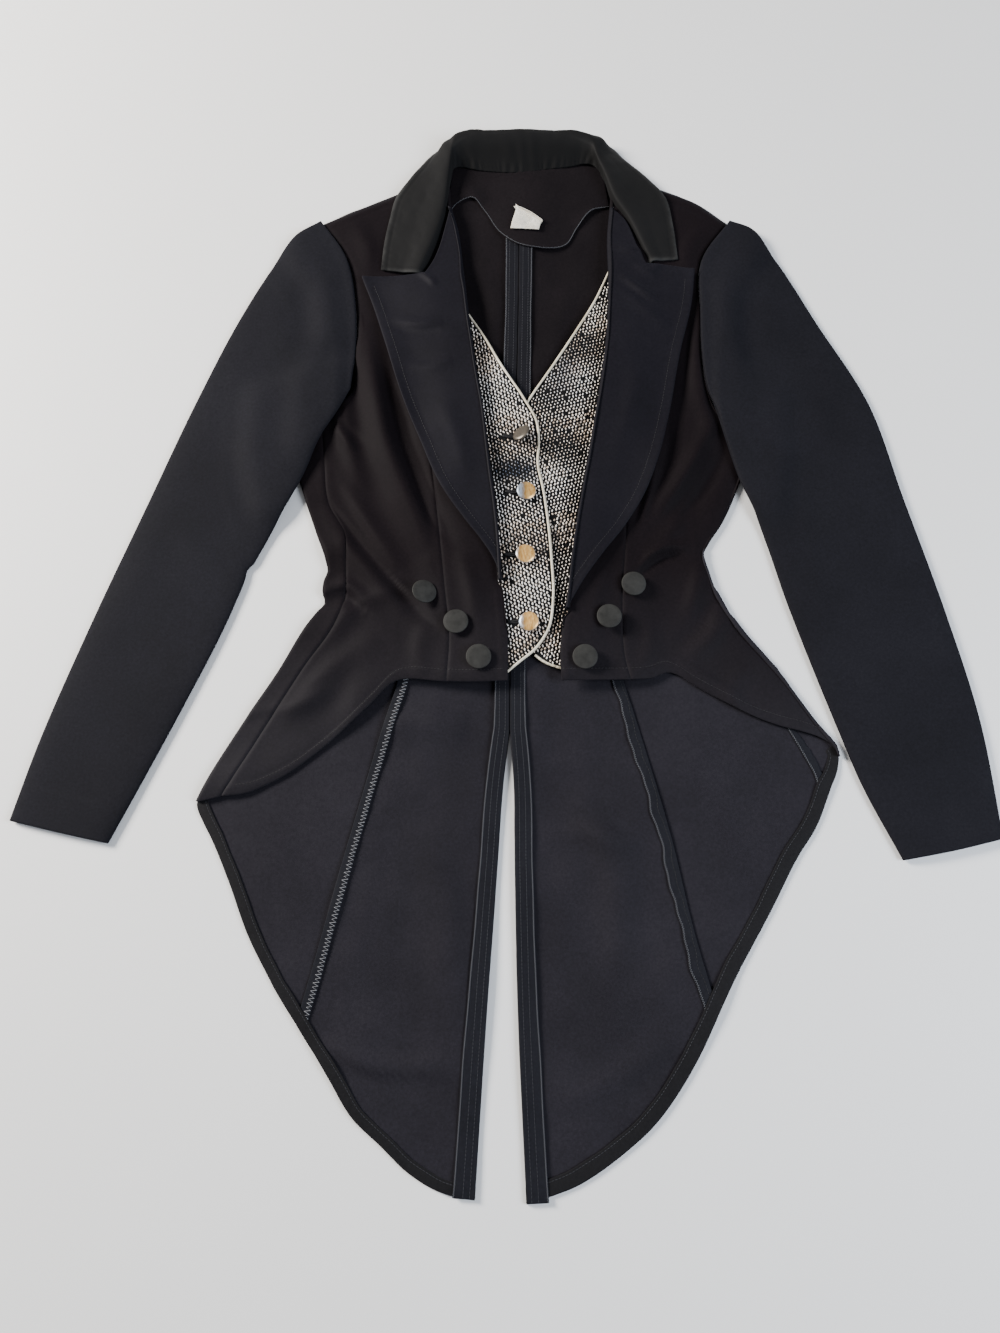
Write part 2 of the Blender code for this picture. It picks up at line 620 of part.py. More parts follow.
def make_side_front_l(level):
    """The left side front: over the body, round the side fold and under to the side seam."""
    rows = ARM_ROWS + SIDE_ROWS - 1
    fold = edge(SIDE_FOLD_L, SIDE_ROWS)
    seam = edge(SIDE_SEAM_L, SIDE_ROWS)
    top_z = level(fold) + WALL
    arc, centre = folded_side(fold, seam_step(fold, seam), top_z, np.zeros(SIDE_ROWS), 1)
    princess = front_edge_rows(FRONT_PRINCESS_L)
    outer = chain(edge(ARMHOLE_FRONT_L, ARM_ROWS), centre)
    outer[ARM_ROWS - 1] = centre[0]
    top = edge(SHOULDER_FRONT_L, SIDE_COLUMNS)
    grid = inset(patch(princess, outer, top, edge(HEM_SIDE_L, SIDE_COLUMNS)), right=0)
    over = raised(grid, level(grid) + WALL)
    over[ARM_ROWS - 1 :, -1, 2] = top_z
    points = np.zeros((rows, over.shape[1] + arc.shape[1], 3))
    points[:, : over.shape[1]] = over
    points[ARM_ROWS - 1 :, over.shape[1] :] = arc
    keep = np.ones((rows - 1, points.shape[1] - 1), bool)
    keep[: ARM_ROWS - 1, over.shape[1] - 1 :] = False
    shell("side_front_l", points, WALL, "wool", keep)
    return over


def make_side_front_r(level):
    """The right side front, which ends at the side seam on the coat's upper side."""
    outer = chain(edge(ARMHOLE_FRONT_R, ARM_ROWS), edge(SIDE_SEAM_R, SIDE_ROWS))
    princess = front_edge_rows(FRONT_PRINCESS_R)
    across = edge(HEM_SIDE_R, SIDE_COLUMNS)
    grid = inset(patch(outer, princess, edge(SHOULDER_FRONT_R, SIDE_COLUMNS), across))
    base = raised(grid, level(grid))
    flat_panel("side_front_r", base, WALL, "wool")
    return base + np.array([0, 0, WALL])


def make_fronts(level):
    """Both centre fronts. Above the lapel's lower end their edge stays inside the lapel's nose."""
    tops = []
    for side, neck, princess, neck_edge, fold_line, front_edge, hem in (
        ("r", NECK_FRONT_R, FRONT_PRINCESS_R, NECK_EDGE_R, FOLD_LINE_R, FRONT_EDGE_R, HEM_FRONT_R),
        ("l", NECK_FRONT_L, FRONT_PRINCESS_L, NECK_EDGE_L, FOLD_LINE_L, FRONT_EDGE_L, HEM_FRONT_L),
    ):
        inner = front_edge_rows(neck_edge, fold_line, front_edge)
        outer = front_edge_rows(princess)
        across = outer - inner
        across /= np.linalg.norm(across, axis=1, keepdims=True)
        # The lapel's nose ends just below the fold line, where the front comes out to its edge.
        covered = np.clip((inner[:, 1] - fold_line[-1][1] * MM) / NOSE_END + 1.5, 0, 1)
        inner = inner + across * (covered * LAPEL_NOSE)[:, None]
        if side == "r":
            grid = patch(outer, inner, edge(neck, PANEL_COLUMNS), edge(hem, PANEL_COLUMNS))
        else:
            grid = patch(inner, outer, edge(neck, PANEL_COLUMNS), edge(hem, PANEL_COLUMNS))
        grid = inset(grid)
        base = raised(grid, level(grid))
        flat_panel("front_" + side, base, WALL, "wool")
        tops.append(base + np.array([0, 0, WALL]))
    return tops


def make_lapels(pile, level):
    """Lapels on the fronts, each rolled over at the fold line down to the front's underside."""
    rows, columns = 18, 6
    tops = []
    for side, outer_table, peak_table, gorge_table, fold_table in (
        ("r", LAPEL_OUTER_R, PEAK_EDGE_R, GORGE_R, FOLD_LINE_R),
        ("l", LAPEL_OUTER_L, PEAK_EDGE_L, GORGE_L, FOLD_LINE_L),
    ):
        outer = edge(outer_table, rows)
        fold = edge([gorge_table[-1]] + fold_table[1:], rows)
        away = square_to(fold) * (1 if side == "r" else -1)
        low = level(fold)
        lying_at_fold = pile.under(fold) + SEAM_GAP + WALL
        top_at_fold = np.maximum(lying_at_fold, low + 2 * LAPEL_ROLL)
        radius = (top_at_fold - low) / 2
        centre = fold - away * radius[:, None]
        top = chain(edge(peak_table, 3), edge(gorge_table, columns - 2))
        grid = patch(outer, centre, top, edge([outer_table[-1], fold_table[-1]], columns))
        share = np.linspace(0, 1, columns)[None, :]
        lying = pile.under(grid) + SEAM_GAP + WALL + (top_at_fold - lying_at_fold)[:, None] * share**2
        nose = []
        for angle in (45, 0, -50):
            turn = math.radians(angle)
            plan = centre + away * (radius * math.cos(turn))[:, None]
            nose.append(np.column_stack([plan, low + radius * (1 + math.sin(turn))]))
        points = np.concatenate([raised(grid, lying), np.stack(nose, axis=1)], axis=1)
        if side == "l":
            points = points[:, ::-1]
        shell("lapel_" + side, points, WALL, "wool")
        tops.append(points[:, :columns] if side == "r" else points[:, 3:])
    return tops


def make_collar():
    """The collar: sections lofted from one end round the neck to the other, thickened inward."""
    table = np.array(COLLAR_SECTIONS) * MM
    count = (len(table) - 1) * COLLAR_STEPS + 1
    lines = []
    for column in range(4):
        curve = smooth(table[:, column])
        at = np.linspace(0, len(curve) - 1, count)
        index = np.arange(len(curve))
        lines.append(np.stack([np.interp(at, index, c) for c in curve.T], axis=1))
    rows = []
    for points in zip(*lines):
        curve = smooth(np.array(points))
        rows.append(spaced(curve, COLLAR_COLUMNS))
    points = np.array(rows)
    points[..., 2] = np.maximum(points[..., 2], 0.0)
    shell("collar", points[:, ::-1], WALL, "collar_cloth")
    return points


def make_facing(pile):
    """The facing inside the back neck, and the folded blank label sewn to it."""
    top = edge(FACING_TOP, 14)
    bottom = edge(FACING_BOTTOM, 14)
    sides = [spaced(np.array([a, b]), 4) for a, b in ((top[0], bottom[0]), (top[-1], bottom[-1]))]
    grid = patch(sides[0], sides[1], top, bottom)
    base = raised(grid, pile.under(grid, reach=FACING_REACH) + SEAM_GAP)
    flat_panel("back_neck_facing", base, STRIP_WALL, "wool")
    pile.lay(base + np.array([0, 0, STRIP_WALL]))
    outline = np.array(LABEL_OUTLINE) * MM
    level = pile.under(outline, reach=FACING_REACH).max() + SEAM_GAP
    mesh = bpy.data.meshes.new("label")
    build = bmesh.new()
    build.faces.new([build.verts.new((*p, level)) for p in outline])
    lifted = bmesh.ops.extrude_face_region(build, geom=list(build.faces))
    corners = [g for g in lifted["geom"] if isinstance(g, bmesh.types.BMVert)]
    bmesh.ops.translate(build, verts=corners, vec=(0, 0, STRIP_WALL))
    bmesh.ops.recalc_face_normals(build, faces=build.faces)
    build.to_mesh(mesh)
    build.free()
    add_object("label", mesh, "label")


def make_strips(pile):
    """Seam allowances and hems that show on the inside of the back and tails."""
    upper = edge(CENTRE_BACK, 40)
    upper = spaced(upper[upper[:, 1] < 0.40], 8)
    tops = []
    outer_r = TAIL_EDGE_R + TAIL_CORNER_R[1:]
    outer_l = TAIL_EDGE_L + TAIL_CORNER_L[1:]
    for side, vent, hem, princess, outer, inward, widths, hem_width in (
        ("r", VENT_R, TAIL_HEM_R, BACK_PRINCESS_R, outer_r, -1, TAIL_STRIP_R, HEM_WIDTH_R),
        ("l", VENT_L, TAIL_HEM_L, BACK_PRINCESS_L, outer_l, 1, TAIL_STRIP_L, HEM_WIDTH_L),
    ):
        line = chain(upper, edge(vent, 12))
        room = line[-1] - line[-2]
        line[-1] = line[-1] - room / np.linalg.norm(room) * (hem_width + CENTRE_STRIP_ROOM) * MM
        plan = side_strip(line, CENTRE_STRIP_WIDTHS, inward, start=SEAM_GAP * 2)
        base = raised(plan, pile.under(plan) + SEAM_GAP)
        flat_panel("centre_strip_" + side, base, STRIP_WALL, "wool")
        tops.append(base + np.array([0, 0, STRIP_WALL]))

        seam = edge(princess, 40)
        seam = spaced(seam[seam[:, 1] < -0.055], 12)
        room = seam[-1] - seam[-2]
        seam[-1] = seam[-1] - room / np.linalg.norm(room) * (hem_width + TAIL_STRIP_ROOM) * MM
        seam = seam[:-1] if side == "l" else seam
        plan = side_strip(seam, widths, -inward, start=SEAM_GAP)
        base = raised(plan, np.full(plan.shape[:2], WALL + SEAM_GAP))
        flat_panel("tail_strip_" + side, base, STRIP_WALL, "wool")
        tops.append(base + np.array([0, 0, STRIP_WALL]))

        rim = corner_edge(26, outer, hem)
        rim = rim[1:] if side == "r" else rim[2:]
        plan = side_strip(rim, (hem_width,), -inward, start=SEAM_GAP * 2)
        base = raised(plan, np.full(plan.shape[:2], WALL + SEAM_GAP))
        flat_panel("tail_hem_" + side, base, STRIP_WALL, "wool")
    return tops


def make_waistcoat(pile):
    """Both waistcoat fronts, the left one under the right, and the piping on their edges."""
    rows, columns = 18, 5
    room = PIPING_RADIUS + SEAM_GAP
    top = edge([VEST_EDGE_L[0], VEST_INNER_L[0]], columns)
    inner = edge(VEST_INNER_L, rows)
    outer = corner_edge(rows, VEST_EDGE_L, VEST_CENTRE_L)
    outer = outer + square_to(outer) * room
    hem = edge(VEST_HEM_L, columns)
    grid = inset(patch(outer, inner, top, hem + square_to(hem) * room), bottom=1.5 * room)
    base = raised(grid, pile.under(grid) + LAYER_AIR)
    flat_panel("waistcoat_l", base, WALL, "knit")
    pipes = [
        pipe_along("waistcoat_piping_l", VEST_EDGE_L[:-1], pile, 14),
        pipe_along("waistcoat_piping_hem", VEST_HEM_L[2:], pile, 8),
    ]
    for top in pipes + [base + np.array([0, 0, WALL])]:
        pile.lay(top)

    rows = 26
    edge_points = edge(VEST_EDGE_R, rows)
    inner = edge(VEST_INNER_R, rows)
    top = edge([VEST_INNER_R[0], VEST_EDGE_R[0]], columns)
    bottom = edge([VEST_INNER_R[-1], VEST_EDGE_R[-1]], columns)
    grid = inset(patch(inner, edge_points - square_to(edge_points) * room, top, bottom))
    base = raised(grid, pile.under(grid) + LAYER_AIR)
    flat_panel("waistcoat_r", base, WALL, "knit")
    pipe = pipe_along("waistcoat_piping_r", VEST_EDGE_R, pile, rows)
    for top in (pipe, base + np.array([0, 0, WALL])):
        pile.lay(top)


def pipe_along(name, table, pile, count):
    """A round piping along an edge, at the height of the cloth beside it."""
    line = edge(table, count)
    height = pile.under(line) + LAYER_AIR + PIPING_RADIUS - 0.3 * MM
    sides = square_to(line) * PIPING_RADIUS
    cover = np.stack([line - sides, line + sides], axis=1)
    curve = bpy.data.curves.new(name, "CURVE")
    curve.dimensions = "3D"
    curve.bevel_depth = PIPING_RADIUS
    curve.bevel_resolution = 1
    curve.use_fill_caps = True
    spline = curve.splines.new("POLY")
    spline.points.add(len(line) - 1)
    for point, (x, y), z in zip(spline.points, line, height):
        point.co = (x, y, z, 1.0)
    add_object(name, curve, "piping")
    return raised(cover, np.stack([height, height], axis=1) + PIPING_RADIUS)


def make_sleeve(side, pile):
    """A sleeve laid flat: an open tube of flattened sections from the armhole to the cuff."""
    outer_table, inner_table, head, cuff = {
        "r": (SLEEVE_OUTER_R, SLEEVE_INNER_R, SLEEVE_HEAD_R, CUFF_R),
        "l": (SLEEVE_OUTER_L, SLEEVE_INNER_L, SLEEVE_HEAD_L, CUFF_L),
    }[side]
    rows, fine = 19, 33
    plan = patch(edge(outer_table, rows), edge(inner_table, rows), edge(head, fine), edge(cuff, fine))
    outline = np.concatenate([plan[:, 0], plan[-1], plan[::-1, -1], plan[0, ::-1]])
    toward = 1 if side == "r" else -1
    rings = sleeve_rings(plan, square_to(plan[:, 0]) * toward, square_to(plan[:, -1]) * -toward)
    xy = rings[..., :2]
    lift = pile.under(xy, inside=outline, reach=SLEEVE_REACH)
    upper = rings[..., 2] > 0.55 * SLEEVE_HEIGHT
    rings[..., 2] += np.where(lift > 0, lift + SEAM_GAP, 0.0) + upper * folds(xy, SLEEVE_FOLDS)
    if side == "l":
        rings = rings[:, ::-1]
    tube_shell("sleeve_" + side, rings, SLEEVE_WALL, "wool")


def sleeve_rings(plan, outer_square, inner_square):
    """Closed flattened sections: over the top from the outer fold to the inner, and back below.

    Each fold is a half circle in the plane square to its edge, and the columns between lie on the
    plan's rows. The squares are unit directions from each edge into the sleeve.
    """
    radius = SLEEVE_HEIGHT / 2
    half = math.sqrt(0.5) * radius
    over = [(plan[:, 0], radius), (plan[:, 0] + outer_square * (radius - half), radius + half)]
    columns = 6
    for k in range(columns + 1):
        share = k / columns
        at = share * (plan.shape[1] - 1)
        low = min(int(at), plan.shape[1] - 2)
        line = plan[:, low] + (plan[:, low + 1] - plan[:, low]) * (at - low)
        line = line + outer_square * radius * (k == 0) + inner_square * radius * (k == columns)
        over.append((line, 2 * radius))
    over += [(plan[:, -1] + inner_square * (radius - half), radius + half), (plan[:, -1], radius)]
    back = [(line, 2 * radius - z) for line, z in over[-2:0:-1]]
    return np.stack([np.column_stack([line, np.full(len(line), z)]) for line, z in over + back], axis=1)


def make_button(name, x, y, profile, slot, pile):
    """A turned button resting on the cloth below it."""
    ring = np.array([(math.cos(a), math.sin(a)) for a in np.linspace(0, 2 * math.pi, 12, endpoint=False)])
    centre = np.array([x, y]) * MM
    widest = max(r for r, _ in profile) * MM
    spots = np.concatenate([centre + ring * widest * share for share in (0.3, 0.6, 1.0)])
    rest = pile.read(pile.height, spots).max() + SEAM_GAP
    mesh = bpy.data.meshes.new(name)
    points = [(r * MM, 0, z * MM) for r, z in reversed(profile)]
    mesh.from_pydata(points, [(k, k + 1) for k in range(len(points) - 1)], [])
    made = add_object(name, mesh, slot)
    made.location = (*centre, rest)
    turn = made.modifiers.new("turn", "SCREW")
    turn.steps = BUTTON_SEGMENTS
    turn.render_steps = BUTTON_SEGMENTS
    turn.use_merge_vertices = True
    turn.merge_threshold = 0.00001
    turn.use_smooth_shade = True


def main():
    """Lay the coat out from the table up."""
    for old in list(bpy.data.objects):
        bpy.data.objects.remove(old, do_unlink=True)
    coat = bpy.data.collections.new("tailcoat")
    bpy.context.scene.collection.children.link(coat)

    pile = Pile()
    left_low, right_low, right_high, left_high = np.array(FALL_AT_BACK) * MM
    ends = ((left_low, left_high), (right_low, right_high), (left_low, right_low), (left_high, right_high))
    fall = patch(*(spaced(np.array(pair), 3) for pair in ends))
    pile.lay(raised(fall, np.full(fall.shape[:2], WALL + 2 * SEAM_GAP)))
    backs = make_backs(pile)
    rise = np.array([0, 0, WALL])
    for base in backs.values():
        pile.lay(base + rise)
    pile.lay(make_side_back_l() + rise)
    for top in make_strips(pile):
        pile.lay(top)
    make_facing(pile)

    under_r = patch(
        edge(SIDE_FOLD_R, SIDE_ROWS), edge(BACK_PRINCESS_R, SIDE_ROWS),
        edge(UNDERARM_BACK_R[::-1], 5), edge([SIDE_FOLD_R[-1], BACK_PRINCESS_R[-1]], 5),
    )
    pile.lay(raised(under_r, np.full(under_r.shape[:2], WALL)))
    make_waistcoat(pile)

    below = pile.spread(pile.height, Pile.REACH, Pile.BLUR)

    def level(xy):
        """Underside of the fronts: over all that lies below, plus the front's own folds."""
        return pile.read(below, xy) + LAYER_AIR + folds(xy, FRONT_FOLDS)

    arc = make_side_back_r(lambda seam: level(seam) + WALL)
    tops = make_fronts(level)
    tops.append(make_side_front_r(level))
    tops.append(make_side_front_l(level))
    tops.append(arc)
    for top in tops:
        pile.lay(top)
    for name, x, y in WAISTCOAT_BUTTONS:
        make_button(name, x, y, METAL_BUTTON_PROFILE, "metal_button", pile)
    for name, x, y in FRONT_BUTTONS:
        make_button(name, x, y, FRONT_BUTTON_PROFILE, "dark_button", pile)
    for top in make_lapels(pile, level):
        pile.lay(top)
    make_collar()
    make_sleeve("r", pile)
    make_sleeve("l", pile)


main()
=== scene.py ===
"""The looks of a woman's tuxedo tailcoat with a sewn-in waistcoat front, laid flat on its back.

Frame: +X to the wearer's left, +Y toward the collar, +Z up, in metres. Tables are in millimetres, each
row one point of an edge (x, y), running down or across the panel. The wearer's right is at -X.
"""

from __future__ import annotations

import logging
import math
from dataclasses import dataclass, field
from enum import Enum

import bpy
import numpy as np
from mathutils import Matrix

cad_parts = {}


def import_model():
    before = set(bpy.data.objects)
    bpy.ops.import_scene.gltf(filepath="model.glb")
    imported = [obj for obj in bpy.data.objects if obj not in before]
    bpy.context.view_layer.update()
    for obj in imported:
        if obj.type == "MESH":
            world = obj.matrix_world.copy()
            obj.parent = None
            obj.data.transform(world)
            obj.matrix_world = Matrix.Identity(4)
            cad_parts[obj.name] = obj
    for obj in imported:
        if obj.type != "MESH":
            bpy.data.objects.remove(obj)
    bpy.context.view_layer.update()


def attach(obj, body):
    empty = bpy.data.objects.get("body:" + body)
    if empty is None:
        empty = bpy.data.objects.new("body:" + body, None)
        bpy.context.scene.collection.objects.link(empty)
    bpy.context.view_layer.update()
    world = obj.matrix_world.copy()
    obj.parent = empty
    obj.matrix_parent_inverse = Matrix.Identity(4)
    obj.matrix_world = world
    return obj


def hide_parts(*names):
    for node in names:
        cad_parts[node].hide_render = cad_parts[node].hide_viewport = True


log = logging.getLogger("tailcoat")

MM = 0.001
WALL = 1.2 * MM
STRIP_WALL = 0.8 * MM
SEAM_GAP = 0.3 * MM
LAYER_AIR = 0.6 * MM
CONTACT = 0.05 * MM
HEM_WIDTH = 10 * MM
FACED_WALL = 1.5 * MM
UNDERARM_LEVEL = 175 * MM
STITCH_PITCH = 2.9 * MM
STITCH_RADIUS = 0.26 * MM
STITCH_LIFT = 0.028 * MM
FOLD_STEPS = 9
TINY = 1e-15

Table = list[tuple[float, float]]
Triple = tuple[float, float, float]


def listed(rows: list) -> list:
    """A dataclass field that starts as a copy of these rows."""
    return field(default_factory=rows.copy)


class Side(Enum):
    """The wearer's side that a piece is on."""

    RIGHT = "r"
    LEFT = "l"


class Edge(Enum):
    """One side of a panel's grid: first and last row, first and last column."""

    TOP = 0
    BOTTOM = 1
    FIRST = 2
    LAST = 3


@dataclass(frozen=True)
class Pattern:
    """The cut lines of one side of the coat, in millimetres."""

    shoulder_back: Table
    armhole_back: Table
    underarm_back: Table
    back_princess: Table
    vent: Table
    side_fold: Table
    side_seam: Table
    tail_edge: Table
    tail_corner: Table
    tail_hem: Table
    shoulder_front: Table
    neck_front: Table
    armhole_front: Table
    front_princess: Table
    fold_line: Table
    front_edge: Table
    neck_edge: Table
    hem_side: Table
    hem_front: Table
    lapel_outer: Table
    peak_edge: Table
    gorge: Table
    sleeve_outer: Table
    sleeve_inner: Table
    sleeve_head: Table
    cuff: Table


CENTRE_BACK = [(15, 447.5), (14, 340), (10, 160), (5, 0), (4, -120)]

RIGHT = Pattern(
    shoulder_back=[(-181, 391), (-150, 407), (-105, 428), (-54, 452), (-20, 449), (15, 447.5)],
    armhole_back=[(-181, 391), (-156, 352), (-143, 290), (-142, 250)],
    underarm_back=[(-142, 250), (-152, 215), (-176, 186), (-206, 168)],
    back_princess=[
        (-142, 250), (-120, 160), (-101, 60), (-92, -20), (-94, -78),
        (-104, -112), (-120, -171), (-134, -225), (-150, -290), (-168, -360),
    ],
    vent=[(4, -120), (-1, -160), (-7, -240), (-15, -349), (-24, -488)],
    side_fold=[
        (-206, 168), (-189, 111), (-171, 60), (-161.5, 34), (-159.5, 24), (-162.5, 16), (-163, 4), (-161, -6),
        (-166, -12), (-174, -23), (-201, -72), (-221, -105), (-259, -175), (-261.6, -181),
    ],
    side_seam=[
        (-172, 178), (-167, 130), (-161, 90), (-146, 62), (-143, 30), (-143, 0),
        (-150, -23), (-175, -63), (-206, -117), (-240, -177.5),
    ],
    tail_edge=[
        (-261.6, -181), (-260, -188), (-254.5, -199), (-247, -212), (-230, -247), (-211, -291),
        (-188, -331),
    ],
    tail_corner=[(-188, -331), (-178, -346), (-168, -360)],
    tail_hem=[
        (-168, -360), (-139, -402), (-120, -430), (-98, -449), (-74, -470), (-51, -482), (-24, -488),
    ],
    shoulder_front=[(-181, 391), (-143, 410), (-107, 426)],
    neck_front=[(-107, 426), (-80, 438), (-57, 444)],
    armhole_front=[(-181, 391), (-156, 352), (-143, 290), (-142, 235), (-144, 203), (-172, 178)],
    front_princess=[
        (-107, 426), (-96, 330), (-84, 220), (-68, 129), (-61, 74), (-54, 10), (-49, -41), (-51, -79),
    ],
    fold_line=[
        (-53, 410), (-47, 385), (-40, 335), (-34, 280), (-27, 225), (-20, 181), (-14, 130), (-8, 81),
        (-4, 30), (-2.8, 12),
    ],
    front_edge=[(-2.8, 12), (-0.6, -14), (2, -45), (2, -79)],
    neck_edge=[(-57, 444), (-54, 428), (-53, 410)],
    hem_side=[
        (-240, -177.5), (-231, -177), (-219.5, -175), (-206, -169.5), (-191, -162), (-162, -141), (-117, -99),
        (-97, -79), (-51, -79),
    ],
    hem_front=[(-51, -79), (-25, -80), (2, -79)],
    lapel_outer=[
        (-138, 325), (-127, 296), (-114, 255), (-94, 191), (-78, 150), (-59, 105), (-36, 70), (-21, 50),
        (-10.5, 33), (-5.6, 21), (-3.6, 12),
    ],
    peak_edge=[(-138, 325), (-106, 326), (-77, 328)],
    gorge=[(-77, 328), (-67, 349), (-55.5, 391), (-53, 404)],
    sleeve_outer=[
        (-182.5, 392.5), (-203, 378), (-230, 335), (-255, 284), (-288, 201),
        (-329, 84), (-367, -26), (-402, -138), (-417, -198),
    ],
    sleeve_inner=[
        (-144.8, 204), (-156, 180), (-168, 159), (-187, 112), (-213, 59), (-222.5, 39),
        (-226.5, 31), (-231, 26.5), (-233, 17), (-241, -8), (-281, -105), (-303, -154), (-332, -217),
    ],
    sleeve_head=[(-182.5, 392.5), (-156.6, 352.3), (-143.7, 290), (-142.7, 238), (-144.8, 204)],
    cuff=[(-417, -198), (-374, -208), (-332, -217)],
)

LEFT = Pattern(
    shoulder_back=[(15, 447.5), (48, 451), (98, 456), (142, 438), (185, 419), (222, 391)],
    armhole_back=[(222, 391), (192, 345), (188, 290), (187, 250)],
    underarm_back=[(187, 250), (192, 205), (206, 174)],
    back_princess=[
        (187, 250), (152, 160), (116, 60), (101, -20), (103, -75),
        (111, -104), (124, -152), (140, -216), (154, -286), (171, -353),
    ],
    vent=[(4, -120), (7, -160), (8, -240), (10, -349), (16, -491)],
    side_fold=[
        (229, 168), (219, 118), (211, 98), (198.5, 72), (184, 50), (179.5, 41), (179.5, 37), (183, 23),
        (188, 5), (199.5, -18), (212, -37), (228, -57), (242, -75), (256, -96), (267, -113), (279, -129),
        (284.5, -135.5), (286.6, -143),
    ],
    side_seam=[
        (206, 174), (192, 114), (174, 76), (156, 38), (160, 4),
        (180, -40), (214, -88), (243, -125), (266, -153), (277, -170),
    ],
    tail_edge=[(277, -170), (260, -206), (247, -224), (218, -273), (190, -318)],
    tail_corner=[(190, -318), (180, -336), (171, -353)],
    tail_hem=[
        (171, -353), (155, -383), (138, -409), (113, -438), (85, -460), (57, -477), (16, -491),
    ],
    shoulder_front=[(158, 431), (190, 417), (222, 391)],
    neck_front=[(109, 443), (132, 439), (158, 431)],
    armhole_front=[
        (222, 391), (192, 345), (188, 290), (187, 240), (190, 205), (200, 180), (229, 168),
    ],
    front_princess=[
        (158, 431), (142, 330), (127, 220), (112, 100), (109, 53), (104, -10), (105, -59), (109, -77),
    ],
    fold_line=[
        (104, 410), (101, 375), (100, 321), (97, 266), (90, 213), (81, 161), (72, 110), (63, 61), (55, 0),
        (53, -14),
    ],
    front_edge=[(53, -14), (50.6, -28), (48, -55), (49, -79)],
    neck_edge=[(109, 443), (106, 428), (104, 410)],
    hem_side=[
        (109, -77), (128, -75), (144, -69.5), (151, -72), (166, -82), (183, -92), (200, -101.5), (220, -111),
        (238, -117.5), (257, -122.5), (272, -128), (282, -135.5), (286.6, -143),
    ],
    hem_front=[(49, -79), (80, -78), (109, -77)],
    lapel_outer=[
        (184, 333), (180, 300), (166, 244), (151, 172), (140, 132), (127, 98), (108, 66), (86, 37), (68, 11),
        (59.5, -4), (54, -14),
    ],
    peak_edge=[(184, 333), (160, 337), (137, 339)],
    gorge=[(137, 339), (130, 356), (116.5, 391), (104, 404)],
    sleeve_outer=[
        (223.5, 392.5), (242, 384), (265, 350), (302, 276), (342, 194),
        (366, 94), (391, -12), (410, -112), (417, -213),
    ],
    sleeve_inner=[
        (200, 178), (208, 138), (215, 112), (228, 79), (253, -12), (288, -125), (301, -164), (331, -231),
    ],
    sleeve_head=[(223.5, 392.5), (192.8, 345.4), (188.7, 290), (187.7, 240), (190.8, 205), (200, 178)],
    cuff=[(417, -213), (374, -223), (331, -231)],
)

PATTERNS = {Side.RIGHT: RIGHT, Side.LEFT: LEFT}


def running(values: np.ndarray, radius: int, axis: int, highest: bool) -> np.ndarray:
    """Each cell's highest or mean value among the neighbours within a radius along one axis.

    Args:
        values: The raster.
        radius: How many cells to each side count.
        axis: The raster's axis.
        highest: Take the highest value, or else the mean.

    Returns:
        A raster of the same size.
    """
    pads = [(0, 0), (0, 0)]
    pads[axis] = (radius, radius)
    padded = np.pad(values, pads, mode="edge")
    count = values.shape[axis]
    parts = np.stack([np.take(padded, range(k, k + count), axis=axis) for k in range(2 * radius + 1)])
    return parts.max(axis=0) if highest else parts.mean(axis=0)


